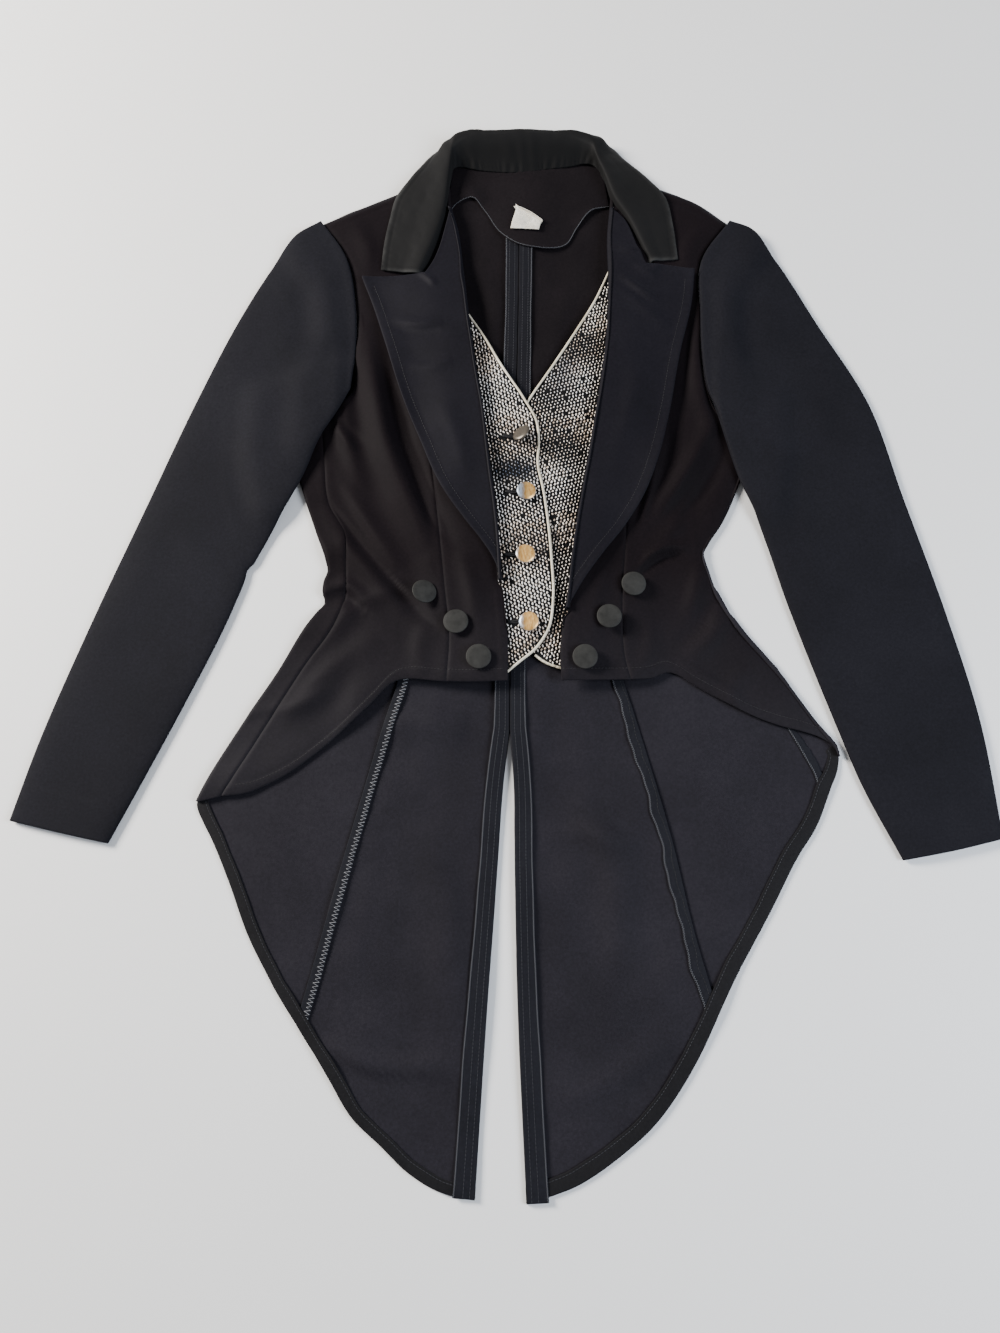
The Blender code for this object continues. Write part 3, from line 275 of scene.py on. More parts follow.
@dataclass
class Pile:
    """The height of all that lies on the table, on a square raster."""

    cell: float = 2 * MM
    half_x: float = 0.44
    half_y: float = 0.52
    reach: float = 30 * MM
    blur: float = 6 * MM
    height: np.ndarray = field(init=False)

    def __post_init__(self) -> None:
        """Start with the bare table."""
        self.size = tuple(int(round(2 * h / self.cell)) + 1 for h in (self.half_x, self.half_y))
        self.low = np.array([-self.half_x, -self.half_y])
        self.height = np.zeros(self.size)

    def lay(self, tops: np.ndarray) -> None:
        """Raise the pile to a piece's upper surface.

        Args:
            tops: A grid of points of the surface, no wider apart than the raster's cells by much.
        """
        steps = np.linalg.norm(np.diff(tops[..., :2], axis=0), axis=-1).max()
        across = np.linalg.norm(np.diff(tops[..., :2], axis=1), axis=-1).max()
        fine = refine(tops, int(steps / self.cell) + 2, int(across / self.cell) + 2)
        index = np.rint((fine[..., :2] - self.low) / self.cell).astype(int).reshape(-1, 2)
        index = np.clip(index, 0, np.array(self.size) - 1)
        np.maximum.at(self.height, (index[:, 0], index[:, 1]), fine[..., 2].reshape(-1))

    def softened(self, height: np.ndarray, reach: float) -> np.ndarray:
        """The highest value within reach of each cell, then blurred three times, so it has no corners."""
        soft = height
        for axis in (0, 1):
            soft = running(soft, int(reach / self.cell), axis, True)
        for axis in (0, 1, 0, 1, 0, 1):
            soft = running(soft, int(self.blur / self.cell), axis, False)
        return soft

    def under(
        self, xy: np.ndarray, inside: np.ndarray | None = None, reach: float | None = None
    ) -> np.ndarray:
        """The height on which cloth over these points lies.

        Args:
            xy: Points in plan.
            inside: A closed outline, outside which nothing counts.
            reach: How far from a point the cloth below it counts.

        Returns:
            The heights.
        """
        height = self.height if inside is None else np.where(self.mask(inside), self.height, 0.0)
        return self.read(self.softened(height, reach or self.reach), xy)

    def read(self, raster: np.ndarray, xy: np.ndarray) -> np.ndarray:
        """A raster's values at points, straight between the cells."""
        at = (np.asarray(xy) - self.low) / self.cell
        low = np.clip(np.floor(at).astype(int), 0, np.array(self.size) - 2)
        part = at - low
        x, y = low[..., 0], low[..., 1]
        a, b = part[..., 0], part[..., 1]
        return (
            raster[x, y] * (1 - a) * (1 - b)
            + raster[x + 1, y] * a * (1 - b)
            + raster[x, y + 1] * (1 - a) * b
            + raster[x + 1, y + 1] * a * b
        )

    def mask(self, outline: np.ndarray) -> np.ndarray:
        """True for the cells inside a closed outline, by counting the edges crossed to one side."""
        gx, gy = np.meshgrid(*(np.arange(n) for n in self.size), indexing="ij")
        points = (outline - self.low) / self.cell
        found = np.zeros(self.size, bool)
        for (x0, y0), (x1, y1) in zip(points, np.roll(points, -1, axis=0)):
            if y0 != y1:
                found ^= ((gy < y0) != (gy < y1)) & (gx < x0 + (gy - y0) * (x1 - x0) / (y1 - y0))
        return found


def refine(grid: np.ndarray, row_times: int, column_times: int) -> np.ndarray:
    """A grid with more rows and columns, straight between the old ones."""
    for axis, times in ((0, row_times), (1, column_times)):
        count = grid.shape[axis]
        at = np.linspace(0, count - 1, (count - 1) * times + 1)
        low = np.minimum(at.astype(int), count - 2)
        part = (at - low).reshape((-1, 1, 1) if axis == 0 else (1, -1, 1))
        grid = np.take(grid, low, axis=axis) * (1 - part) + np.take(grid, low + 1, axis=axis) * part
    return grid


def crowded(count: int, first: float = 0.8, last: float = 0.8) -> np.ndarray:
    """Shares from 0 to 1 that stand closer together toward either end.

    Even shares are mixed with the cosine spacing of a half circle, by first at the start and by last at
    the end.
    """
    even = np.linspace(0, 1, count)
    close = (1 - np.cos(np.pi * even)) / 2
    weight = first * (1 - even) + last * even
    return even * (1 - weight) + close * weight


def unit(vectors: np.ndarray) -> np.ndarray:
    """The same vectors, each with the length 1."""
    return vectors / np.maximum(np.linalg.norm(vectors, axis=-1, keepdims=True), TINY)


def distances(line: np.ndarray) -> np.ndarray:
    """How far along a line each of its points stands."""
    return np.concatenate([[0], np.cumsum(np.linalg.norm(np.diff(line, axis=0), axis=-1))])


def smooth(points: np.ndarray | Table) -> np.ndarray:
    """A fine smooth curve through points, by cubic pieces whose slopes follow the neighbours."""
    points = np.asarray(points, float)
    if len(points) == 2:
        return points[0] + np.linspace(0, 1, 60)[:, None] * (points[1] - points[0])
    steps = np.linalg.norm(np.diff(points, axis=0), axis=1)
    along = np.concatenate([[0], np.cumsum(steps)])
    slopes = np.gradient(points, along, axis=0)
    at = np.linspace(0, along[-1], 60 * len(points))
    k = np.clip(np.searchsorted(along, at, side="right") - 1, 0, len(points) - 2)
    h = steps[k][:, None]
    t = ((at - along[k]) / steps[k])[:, None]
    return (
        (2 * t**3 - 3 * t**2 + 1) * points[k]
        + (t**3 - 2 * t**2 + t) * h * slopes[k]
        + (3 * t**2 - 2 * t**3) * points[k + 1]
        + (t**3 - t**2) * h * slopes[k + 1]
    )


def at_shares(curve: np.ndarray, shares: np.ndarray) -> np.ndarray:
    """Points at these shares of a fine curve's length."""
    along = distances(curve)
    return np.stack([np.interp(shares * along[-1], along, column) for column in curve.T], axis=1)


def edge(table: Table, shares: np.ndarray) -> np.ndarray:
    """An edge's points in metres, at shares of the smooth curve through its table."""
    return at_shares(smooth(np.array(table) * MM), shares)


def joined(*tables: Table) -> np.ndarray:
    """One fine curve in metres over tables that meet at corners."""
    return np.concatenate([smooth(np.array(table) * MM) for table in tables])


def chain(*edges: np.ndarray) -> np.ndarray:
    """Edges end to end as one, without the repeated corner points."""
    return np.concatenate([edges[0]] + [e[1:] for e in edges[1:]])


def coons(left: np.ndarray, right: np.ndarray, top: np.ndarray, bottom: np.ndarray) -> np.ndarray:
    """A panel's plan: a grid whose four sides are the given edges.

    A Coons patch: the straight blend between the two sides, plus the one between the two ends, less the
    one between the four corners. Its shares are the lengths along the left side and the top.
    """
    v = shares_of(left)[:, None, None]
    u = shares_of(top)[None, :, None]
    top, bottom = top.copy(), bottom.copy()
    top[0], top[-1], bottom[0], bottom[-1] = left[0], right[0], left[-1], right[-1]
    sides = (1 - u) * left[:, None] + u * right[:, None]
    ends = (1 - v) * top[None] + v * bottom[None]
    upper = (1 - u) * left[0] + u * right[0]
    lower = (1 - u) * left[-1] + u * right[-1]
    return sides + ends - (1 - v) * upper - v * lower


def shares_of(line: np.ndarray) -> np.ndarray:
    """The share of its whole length at which each point of a line stands."""
    along = distances(line)
    return along / along[-1]


def inset(grid: np.ndarray, first: float = 0.5, last: float = 0.5) -> np.ndarray:
    """The same grid with each side moved in by its share of the seam gap, which is half at the ends."""
    grid = grid.copy()
    for index, inner, amount in (
        ((slice(None), 0), (slice(None), 1), first),
        ((slice(None), -1), (slice(None), -2), last),
        ((0,), (1,), 0.5),
        ((-1,), (-2,), 0.5),
    ):
        step = grid[inner] - grid[index]
        length = np.maximum(np.linalg.norm(step, axis=-1, keepdims=True), 1e-9)
        grid[index] = grid[index] + step / length * np.minimum(amount * SEAM_GAP, length * 0.6)
    return grid


def square_to(line: np.ndarray) -> np.ndarray:
    """Unit directions square to a line in plan, to the left of its course."""
    along = unit(np.gradient(line, axis=0))
    return np.stack([-along[:, 1], along[:, 0]], axis=1)


def raised(grid: np.ndarray, z: np.ndarray | float) -> np.ndarray:
    """A plan grid with heights, as points in space."""
    return np.concatenate([grid, np.broadcast_to(z, grid.shape[:-1])[..., None]], axis=-1)


def edge_distance(grid: np.ndarray, side: Edge) -> np.ndarray:
    """How far each point of a grid is from one of its sides, measured along the rows or columns."""
    axis = 0 if side in (Edge.TOP, Edge.BOTTOM) else 1
    steps = np.linalg.norm(np.diff(grid, axis=axis), axis=-1)
    start = np.zeros_like(np.take(steps, [0], axis=axis))
    along = np.concatenate([start, np.cumsum(steps, axis=axis)], axis=axis)
    if side in (Edge.BOTTOM, Edge.LAST):
        return np.take(along, [-1], axis=axis) - along
    return along


def step_up(values: np.ndarray) -> np.ndarray:
    """0 below 0 and 1 above 1, with a smooth cubic between."""
    t = np.clip(values, 0, 1)
    return t * t * (3 - 2 * t)


def bell(distance: np.ndarray, width: float) -> np.ndarray:
    """A smooth bump: 1 at no distance, fading over the width as a Gaussian."""
    return np.exp(-((distance / width) ** 2))


def pressed_seam(distance: np.ndarray) -> np.ndarray:
    """Relief beside a pressed seam: the edge drops into the seam and the allowance behind swells it."""
    return -0.65 * MM * bell(distance, 1.0 * MM) + 0.16 * MM * bell(distance - 4.5 * MM, 3.2 * MM)


def turned_hem(distance: np.ndarray, width: float) -> np.ndarray:
    """Relief of a turned edge: a second layer as wide as the turning, with the stitch row's groove."""
    layer = 0.55 * MM * (1 - step_up((distance - width) / (1.6 * MM)))
    return layer - 0.3 * MM * bell(distance - width, 0.8 * MM) - 0.25 * MM * bell(distance, 1.2 * MM)


@dataclass(frozen=True)
class Crease:
    """A soft ridge or trough along a smooth line, uneven on its two sides.

    Points, widths and the height are in millimetres. A negative height is a trough.
    """

    points: Table
    width: float
    lee: float
    height: float

    def relief(self, xy: np.ndarray) -> np.ndarray:
        """Height at each point of a plan grid.

        The nearest point of the line gives the distance and the share of its length. The height fades
        as a Gaussian with its own width on each side, and as a half sine toward both ends.
        """
        line = at_shares(smooth(self.points), np.linspace(0, 1, 20)) * MM
        start, span = line[:-1], np.diff(line, axis=0)
        flat = xy.reshape(-1, 1, 2) - start[None]
        t = np.clip((flat * span).sum(-1) / (span * span).sum(-1), 0, 1)
        offset = flat - t[..., None] * span
        far = np.linalg.norm(offset, axis=-1)
        best = far.argmin(axis=1)
        row = np.arange(len(best))
        side = span[best, 0] * offset[row, best, 1] - span[best, 1] * offset[row, best, 0]
        width = np.where(side > 0, self.width, self.lee) * MM
        share = (best + t[row, best]) / len(span)
        fade = np.sin(np.pi * np.clip(share, 0.02, 0.98)) ** 0.7
        height = self.height * MM * fade * np.exp(-((far[row, best] / width) ** 2))
        return height.reshape(xy.shape[:-1])


def creased(xy: np.ndarray, creases: list[Crease]) -> np.ndarray:
    """The creases' heights, added up."""
    return sum((crease.relief(xy) for crease in creases), np.zeros(xy.shape[:-1]))


def ripple(xy: np.ndarray, height: float, length: float, turn: float) -> np.ndarray:
    """Uneven lie of cloth: five sine waves of unlike lengths and directions, added up.

    Args:
        xy: Points in plan.
        height: The waves' height together, in millimetres.
        length: The longest wave, in millimetres.
        turn: An angle in radians that makes one piece's waves unlike another's.

    Returns:
        Heights in metres.
    """
    total = np.zeros(xy.shape[:-1])
    for k in range(5):
        angle = turn + 2.4 * k
        wave = length * MM / (1 + 0.62 * k)
        along = xy[..., 0] * math.cos(angle) + xy[..., 1] * math.sin(angle)
        total += np.sin(2 * math.pi * along / wave + turn * (3 + k)) / (1 + 0.8 * k)
    return total * height * MM / 2.6


def normals(grid: np.ndarray) -> np.ndarray:
    """Unit normals of a grid surface: the row direction crossed with the column direction."""
    return unit(np.cross(np.gradient(grid, axis=0), np.gradient(grid, axis=1)))


def grid_quads(rows: int, columns: int, keep: np.ndarray | None = None) -> np.ndarray:
    """The four point numbers of each cell of a grid, or of the cells that are kept."""
    corner = (np.arange(rows - 1)[:, None] * columns + np.arange(columns - 1)).astype(int)
    corner = corner[keep] if keep is not None else corner.reshape(-1)
    return np.stack([corner, corner + columns, corner + columns + 1, corner + 1], axis=1)


def tube_quads(rows: int, sides: int) -> np.ndarray:
    """The four point numbers of each face between closed rings of points, one ring a row."""
    i, j = np.meshgrid(np.arange(rows - 1), np.arange(sides), indexing="ij")
    k = (j + 1) % sides
    below = (i + 1) * sides
    return np.stack([i * sides + j, below + j, below + k, i * sides + k], axis=-1).reshape(-1, 4)


def new_mesh(name: str, points: np.ndarray, faces: np.ndarray | list) -> bpy.types.Object:
    """An object at the origin from points and faces, shaded as one smooth surface.

    Args:
        name: The piece's name.
        points: One row for each point.
        faces: Point numbers of each face.

    Returns:
        The object, linked to the scene.
    """
    mesh = bpy.data.meshes.new(name)
    rows = faces.tolist() if isinstance(faces, np.ndarray) else faces
    mesh.from_pydata(points.reshape(-1, 3).tolist(), [], rows)
    mesh.shade_smooth()
    made = bpy.data.objects.new(name, mesh)
    bpy.context.scene.collection.objects.link(made)
    return made


def add_values(made: bpy.types.Object, name: str, values: np.ndarray) -> None:
    """Give a piece a number at each point, which its finish reads by this name."""
    attribute = made.data.attributes.new(name, "FLOAT", "POINT")
    attribute.data.foreach_set("value", values.reshape(-1).astype(np.float32))


def cloth(
    name: str, outer: np.ndarray, wall: float, up: tuple[int, int, float] | None = None,
    wear_and_shade: np.ndarray | None = None, keep: np.ndarray | None = None,
) -> bpy.types.Object:
    """A closed piece of cloth with a rounded rim.

    The inner side is the outer one moved along its normals by the wall. Along each cell side that has
    no neighbour, three rings between the two sides carry the rim round a half circle. Nothing goes
    below the table.

    Args:
        name: The piece's name.
        outer: A grid of points of the side that shows.
        wall: The cloth's thickness.
        up: A row, a column and the sign that the outer side's normal has in Z there. Without it the
            outer side faces up for the most part.
        wear_and_shade: How worn each point of the outer side is, from 0 to 1, and below 0 how deep its
            painted shade is.
        keep: True for the grid's cells that are cloth. Without it they all are.

    Returns:
        The object.
    """
    n = normals(outer)
    sign = np.sign(n[up[0], up[1], 2]) * up[2] if up else np.sign(n[..., 2].mean())
    quads = grid_quads(*outer.shape[:2], keep)
    if sign < 0:
        quads, n = quads[:, ::-1], -n
    used, compact = np.unique(quads, return_inverse=True)
    quads = compact.reshape(quads.shape)
    top = outer.reshape(-1, 3)[used]
    bottom = top - n.reshape(-1, 3)[used] * wall
    start = quads.reshape(-1)
    stop = np.roll(quads, -1, axis=1).reshape(-1)
    total = len(top)
    open_side = ~np.isin(start * total + stop, stop * total + start)
    start, stop = start[open_side], stop[open_side]
    rim, place = np.unique(np.concatenate([start, stop]), return_inverse=True)
    first, second = place[: len(start)], place[len(start) :]
    lift = unit(top[rim] - bottom[rim])
    square = np.cross(top[stop] - top[start], lift[first])
    away = np.zeros_like(lift)
    np.add.at(away, first, square)
    np.add.at(away, second, square)
    away = unit(away)
    middle = (top[rim] + bottom[rim]) / 2
    rings = [
        middle + away * math.cos(turn) * wall * 0.45 + lift * math.sin(turn) * wall / 2
        for turn in (math.radians(52), 0.0, -math.radians(52))
    ]
    count = len(rim)
    starts = [start] + [2 * total + k * count + first for k in range(3)] + [total + start]
    stops = [stop] + [2 * total + k * count + second for k in range(3)] + [total + stop]
    faces = [quads, quads[:, ::-1] + total]
    for a, b, c, d in zip(starts[:-1], stops[:-1], stops[1:], starts[1:]):
        faces.append(np.stack([b, a, d, c], axis=1))
    points = np.concatenate([top, bottom] + rings)
    points[:, 2] = np.maximum(points[:, 2], CONTACT)
    made = new_mesh(name, points, np.concatenate(faces))
    index = np.zeros(sum(len(f) for f in faces), np.int32)
    index[len(quads) : 2 * len(quads)] = 1
    made.data.polygons.foreach_set("material_index", index)
    if wear_and_shade is not None:
        flat = wear_and_shade.reshape(-1)[used]
        add_values(made, "wear_and_shade", np.concatenate([flat, flat * 0, *([flat[rim]] * 3)]))
    return made


def tube_cloth(name: str, rings: np.ndarray, wall: float) -> bpy.types.Object:
    """An open tube of cloth through closed rings of points, with rounded ends.

    The inner side is moved in along the normals by the wall, and a ring between them rounds each end.

    Args:
        name: The piece's name.
        rings: One closed ring of points for each row.
        wall: The cloth's thickness.

    Returns:
        The object.
    """
    wrapped = np.concatenate([rings[:, -1:], rings, rings[:, :1]], axis=1)
    n = normals(wrapped)[:, 1:-1]
    middle = rings.mean(axis=1, keepdims=True)
    if ((rings - middle) * n).sum(-1).mean() < 0:
        rings = rings[:, ::-1]
        wrapped = np.concatenate([rings[:, -1:], rings, rings[:, :1]], axis=1)
        n = normals(wrapped)[:, 1:-1]
    rows, count = rings.shape[:2]
    inner = rings - n * wall
    total = rows * count
    ends = []
    for row, beside in ((0, 1), (-1, -2)):
        away = unit(rings[row] - rings[beside])
        ends.append((rings[row] + inner[row]) / 2 + away * wall * 0.45)
    outside = tube_quads(rows, count)
    faces = [outside, outside[:, ::-1] + total]
    around = np.arange(count)
    following = np.roll(around, -1)
    for start, ring, turned in ((0, 2 * total, False), ((rows - 1) * count, 2 * total + count, True)):
        for a, b in ((start + around, ring + around), (ring + around, total + start + around)):
            quad = np.stack([a, a[following], b[following], b], axis=1)
            faces.append(quad[:, ::-1] if turned else quad)
    points = np.concatenate([rings.reshape(-1, 3), inner.reshape(-1, 3), *ends])
    return new_mesh(name, points, np.concatenate(faces))


def directions_round(path: np.ndarray, turn: np.ndarray) -> np.ndarray:
    """Unit directions square to a path at each point, turned by each angle from level toward up."""
    along = unit(np.gradient(path, axis=0))
    level = unit(np.cross(along, [0.0, 0.0, 1.0]))[:, None]
    upward = np.cross(level[:, 0], along)[:, None]
    return level * np.cos(turn)[None, :, None] + upward * np.sin(turn)[None, :, None]


def cord_mesh(name: str, path: np.ndarray, radius: float, sides: int) -> bpy.types.Object:
    """A round cord or thread: a circle carried along a path, closed by a flat face at each end.

    The distance along it is kept at each point, for the finish.

    Args:
        name: The piece's name.
        path: Points of the centre line.
        radius: The cord's radius.
        sides: Points round the circle.

    Returns:
        The object.
    """
    turn = np.linspace(0, 2 * math.pi, sides, endpoint=False)
    points = path[:, None] + directions_round(path, turn) * radius
    rows = len(path)
    faces = tube_quads(rows, sides)[:, [0, 3, 2, 1]].tolist()
    faces.append(list(range(sides - 1, -1, -1)))
    faces.append([(rows - 1) * sides + s for s in range(sides)])
    made = new_mesh(name, points, faces)
    add_values(made, "along", np.repeat(distances(path), sides))
    return made


def spindles(name: str, centres: np.ndarray, axes: np.ndarray) -> bpy.types.Object:
    """One mesh of many small spindles: five points round each of three rings, and one at each end.

    Args:
        name: The piece's name.
        centres: One point for each spindle.
        axes: For each spindle three rows: its half length along it, and its radius in two directions.

    Returns:
        The object.
    """
    sides = 5
    turn = np.linspace(0, 2 * math.pi, sides, endpoint=False)
    rings = [
        np.column_stack([np.full(sides, x), np.cos(turn) * r, np.sin(turn) * r])
        for x, r in ((-0.62, 0.82), (0.0, 1.0), (0.62, 0.82))
    ]
    shape = np.concatenate([[[-1, 0, 0]], *rings, [[1, 0, 0]]])
    faces = []
    for k in range(sides):
        m = (k + 1) % sides
        faces.append([0, 1 + m, 1 + k])
        for ring in range(2):
            a = 1 + ring * sides
            faces.append([a + k, a + m, a + sides + m, a + sides + k])
        faces.append([1 + 2 * sides + k, 1 + 2 * sides + m, 1 + 3 * sides])
    points = centres[:, None] + np.einsum("pk,nkc->npc", shape, axes)
    shift = np.arange(len(centres)) * len(shape)
    return new_mesh(name, points, [[int(c + s) for c in face] for s in shift for face in faces])


def stitch_row(name: str, path: np.ndarray) -> bpy.types.Object:
    """A row of stitches along a path on the cloth, each a spindle that ends in its hole.

    Args:
        name: The piece's name.
        path: Points on the cloth's surface.

    Returns:
        The object.
    """
    length = distances(path)[-1]
    count = max(int(length / STITCH_PITCH), 2)
    middle = at_shares(path, (np.arange(count) + 0.5) / count)
    ahead = at_shares(path, np.minimum((np.arange(count) + 0.9) / count, 1))
    behind = at_shares(path, (np.arange(count) + 0.1) / count)
    along = unit(ahead - behind)
    level = unit(np.cross(along, [0, 0, 1.0]))
    upward = np.cross(level, along)
    half = length / count * 0.43
    axes = np.stack([along * half, upward * STITCH_RADIUS, -level * STITCH_RADIUS], axis=1)
    return spindles(name, middle + upward * STITCH_LIFT, axes)


def surface_path(
    grid: np.ndarray, side: Edge, distance: float, start: float = 0.0, end: float = 1.0
) -> np.ndarray:
    """A line on a grid surface at a steady distance from one of its sides.

    Each row, or column, is followed inward until its length reaches the distance.

    Args:
        grid: The surface's points.
        side: The side that the line follows.
        distance: How far inside it.
        start: The share of the side at which the line starts.
        end: The share at which it ends.

    Returns:
        The line's points.
    """
    far = edge_distance(grid, side)
    if side in (Edge.TOP, Edge.BOTTOM):
        grid, far = np.swapaxes(grid, 0, 1), far.T
    if side in (Edge.BOTTOM, Edge.LAST):
        grid, far = grid[:, ::-1], far[:, ::-1]
    past = np.clip((far >= distance).argmax(axis=1), 1, far.shape[1] - 1)
    row = np.arange(len(far))
    before, after = far[row, past - 1], far[row, past]
    part = np.clip((distance - before) / np.maximum(after - before, 1e-9), 0, 1)[:, None]
    line = grid[row, past - 1] * (1 - part) + grid[row, past] * part
    shares = np.linspace(start, end, len(line))
    return at_shares(line, shares)


def overlock(
    name: str, grid: np.ndarray, side: Edge, width: float = 3.0 * MM, pitch: float = 1.9 * MM,
    thread: float = 0.26 * MM,
) -> bpy.types.Object:
    """Overlocked edge: one thread that runs in a zigzag from the raw edge over the cloth and back.

    Its points lie by turns on two lines of the surface, one at the edge and one at the width inside.

    Args:
        name: The piece's name.
        grid: The cloth's upper side.
        side: The raw edge.
        width: How far in the thread reaches.
        pitch: From one zig to the next.
        thread: The thread's radius.

    Returns:
        The object.
    """
    raw = surface_path(grid, side, CONTACT)
    inside = surface_path(grid, side, width)
    count = max(int(distances(raw)[-1] / pitch) * 2, 8)
    shares = np.linspace(0, 1, count)
    swing = np.where(np.arange(count) % 2 == 0, 0.0, 0.9 + 0.1 * np.sin(np.arange(count) * 1.7))[:, None]
    path = at_shares(raw, shares) * (1 - swing) + at_shares(inside, shares) * swing
    path[:, 2] += thread * 0.7
    return cord_mesh(name, path, thread, sides=4)


class Shader:
    """A Principled material under construction, with short ways to add and join nodes."""

    def __init__(self, name: str) -> None:
        """Start a material that holds only its Principled shader."""
        self.material = bpy.data.materials.new(name)
        self.material.use_nodes = True
        self.tree = self.material.node_tree
        self.surface = self.tree.nodes["Principled BSDF"]

    def node(self, kind: str, **inputs: object) -> bpy.types.Node:
        """A node whose named inputs take a number, a colour or another node's output."""
        made = self.tree.nodes.new(kind)
        for name, value in inputs.items():
            self.put(made.inputs[name.replace("_", " ")], value)
        return made

    def put(self, socket: bpy.types.NodeSocket, value: object) -> None:
        """Give a socket a value or a link."""
        if isinstance(value, bpy.types.NodeSocket):
            self.tree.links.new(value, socket)
        else:
            socket.default_value = value

    def set(self, **values: object) -> None:
        """Values or links for the shader's own sockets, with underscores for spaces."""
        for name, value in values.items():
            self.put(self.surface.inputs[name.replace("_", " ")], value)

    def place(
        self, scale: float = 1.0, turn: float = 0.0, stretch: Triple = (1, 1, 1)
    ) -> bpy.types.NodeSocket:
        """Object coordinates, scaled and turned about Z."""
        coordinates = self.node("ShaderNodeTexCoord")
        mapping = self.node("ShaderNodeMapping", Vector=coordinates.outputs["Object"])
        mapping.inputs["Rotation"].default_value = (0, 0, turn)
        mapping.inputs["Scale"].default_value = tuple(scale * s for s in stretch)
        return mapping.outputs["Vector"]

    def noise(
        self, scale: float, detail: float = 3.0, roughness: float = 0.55,
        place: bpy.types.NodeSocket | None = None,
    ) -> bpy.types.NodeSocket:
        """Noise between 0 and 1, with scale in waves for each metre."""
        made = self.node("ShaderNodeTexNoise", Scale=scale, Detail=detail, Roughness=roughness)
        self.put(made.inputs["Vector"], place or self.place())
        return made.outputs["Fac"]

    def bands(self, pitch: float, turn: float, distortion: float = 0.6) -> bpy.types.NodeSocket:
        """Parallel threads at a pitch in metres, turned about Z."""
        made = self.node("ShaderNodeTexWave", Scale=0.05 / pitch, Distortion=distortion, Detail=2.0)
        made.bands_direction = "X"
        made.inputs["Detail Scale"].default_value = 1.5
        self.put(made.inputs["Vector"], self.place(scale=2 * math.pi, turn=turn))
        return made.outputs["Fac"]

    def value(self, name: str) -> bpy.types.NodeSocket:
        """A number that the piece holds at each point."""
        made = self.tree.nodes.new("ShaderNodeAttribute")
        made.attribute_name = name
        return made.outputs["Fac"]

    def ramp(
        self, factor: bpy.types.NodeSocket, *stops: tuple[float, tuple[float, ...]]
    ) -> bpy.types.NodeSocket:
        """A colour ramp: each stop is a place from 0 to 1 and a colour."""
        made = self.node("ShaderNodeValToRGB", Fac=factor)
        points = made.color_ramp.elements
        while len(points) < len(stops):
            points.new(0.5)
        for point, (at, colour) in zip(points, stops):
            point.position = at
            point.color = (*colour, 1.0) if len(colour) == 3 else (colour[0],) * 3 + (1.0,)
        return made.outputs["Color"]

    def math(self, operation: str, a: object, b: object = 0.5) -> bpy.types.NodeSocket:
        """One operation on two numbers."""
        made = self.tree.nodes.new("ShaderNodeMath")
        made.operation = operation
        self.put(made.inputs[0], a)
        self.put(made.inputs[1], b)
        return made.outputs["Value"]

    def mix(self, factor: object, a: object, b: object, blend: str = "MIX") -> bpy.types.NodeSocket:
        """Two colours mixed by a factor."""
        made = self.tree.nodes.new("ShaderNodeMix")
        made.data_type = "RGBA"
        made.blend_type = blend
        self.put(made.inputs["Factor"], factor)
        for socket, value in ((made.inputs[6], a), (made.inputs[7], b)):
            self.put(socket, (*value, 1.0) if isinstance(value, tuple) and len(value) == 3 else value)
        return made.outputs[2]

    def bump(self, height: bpy.types.NodeSocket, distance: float, strength: float = 1.0) -> None:
        """Bump on the whole surface, with the height's full range in metres."""
        made = self.node("ShaderNodeBump", Height=height, Distance=distance, Strength=strength)
        self.set(Normal=made.outputs["Normal"])


@dataclass(frozen=True)
class Suiting:
    """Fine matte suiting: a close twill, dusty fibres that catch the light, and faint rubbed patches.

    Between the fade's two places along Y, in metres, its colour and gloss turn to the above share.
    This is painted shade, darker and less glossy toward the collar.
    """

    name: str
    dark: Triple = (0.0074, 0.0064, 0.0084)
    light: Triple = (0.0134, 0.0119, 0.0150)
    sheen: float = 0.055
    roughness: float = 0.66
    turn: float = 0.6
    gloss: float = 0.095
    fade: tuple[float, float] = (-0.13, 0.03)
    above: Triple = (0.58, 0.46, 0.44)

    def build(self) -> bpy.types.Material:
        """Make the material."""
        s = Shader(self.name)
        patches = s.noise(9.0, 4.0, 0.6)
        fibres = s.noise(1500.0, 2.0, 0.7)
        blend = s.math("ADD", s.math("MULTIPLY", patches, 0.55), s.math("MULTIPLY", fibres, 0.45))
        base = s.ramp(blend, (0.3, self.dark), (0.7, self.light))
        # Painted shade: colour and gloss fall to the above share along Y, darkest toward the collar.
        height = s.node("ShaderNodeSeparateXYZ", Vector=s.place()).outputs["Y"]
        start, stop = self.fade
        share = s.math("MULTIPLY", s.math("SUBTRACT", height, start), 1 / (stop - start))
        shade = s.ramp(share, (0.0, (1.0,)), (1.0, self.above))
        lint = s.ramp(s.noise(430.0, 3.0, 0.65), (0.32, (0.82,)), (0.70, (1.16,)))
        s.set(Base_Color=s.mix(1.0, s.mix(1.0, base, shade, "MULTIPLY"), lint, "MULTIPLY"))
        rough = s.math("ADD", s.math("MULTIPLY", patches, 0.16), self.roughness - 0.08)
        s.set(Roughness=rough, Specular_IOR_Level=s.math("MULTIPLY", shade, self.gloss))
        s.set(Sheen_Weight=self.sheen, Sheen_Roughness=0.35, Sheen_Tint=(0.75, 0.8, 1.0, 1.0))
        twill = s.bands(0.62 * MM, self.turn)
        cross = s.bands(0.5 * MM, self.turn + 1.25)
        weave = s.math("ADD", s.math("MULTIPLY", twill, 0.6), s.math("MULTIPLY", cross, 0.25))
        s.bump(s.math("ADD", weave, s.math("MULTIPLY", fibres, 0.5)), 0.06 * MM, 0.5)
        return s.material


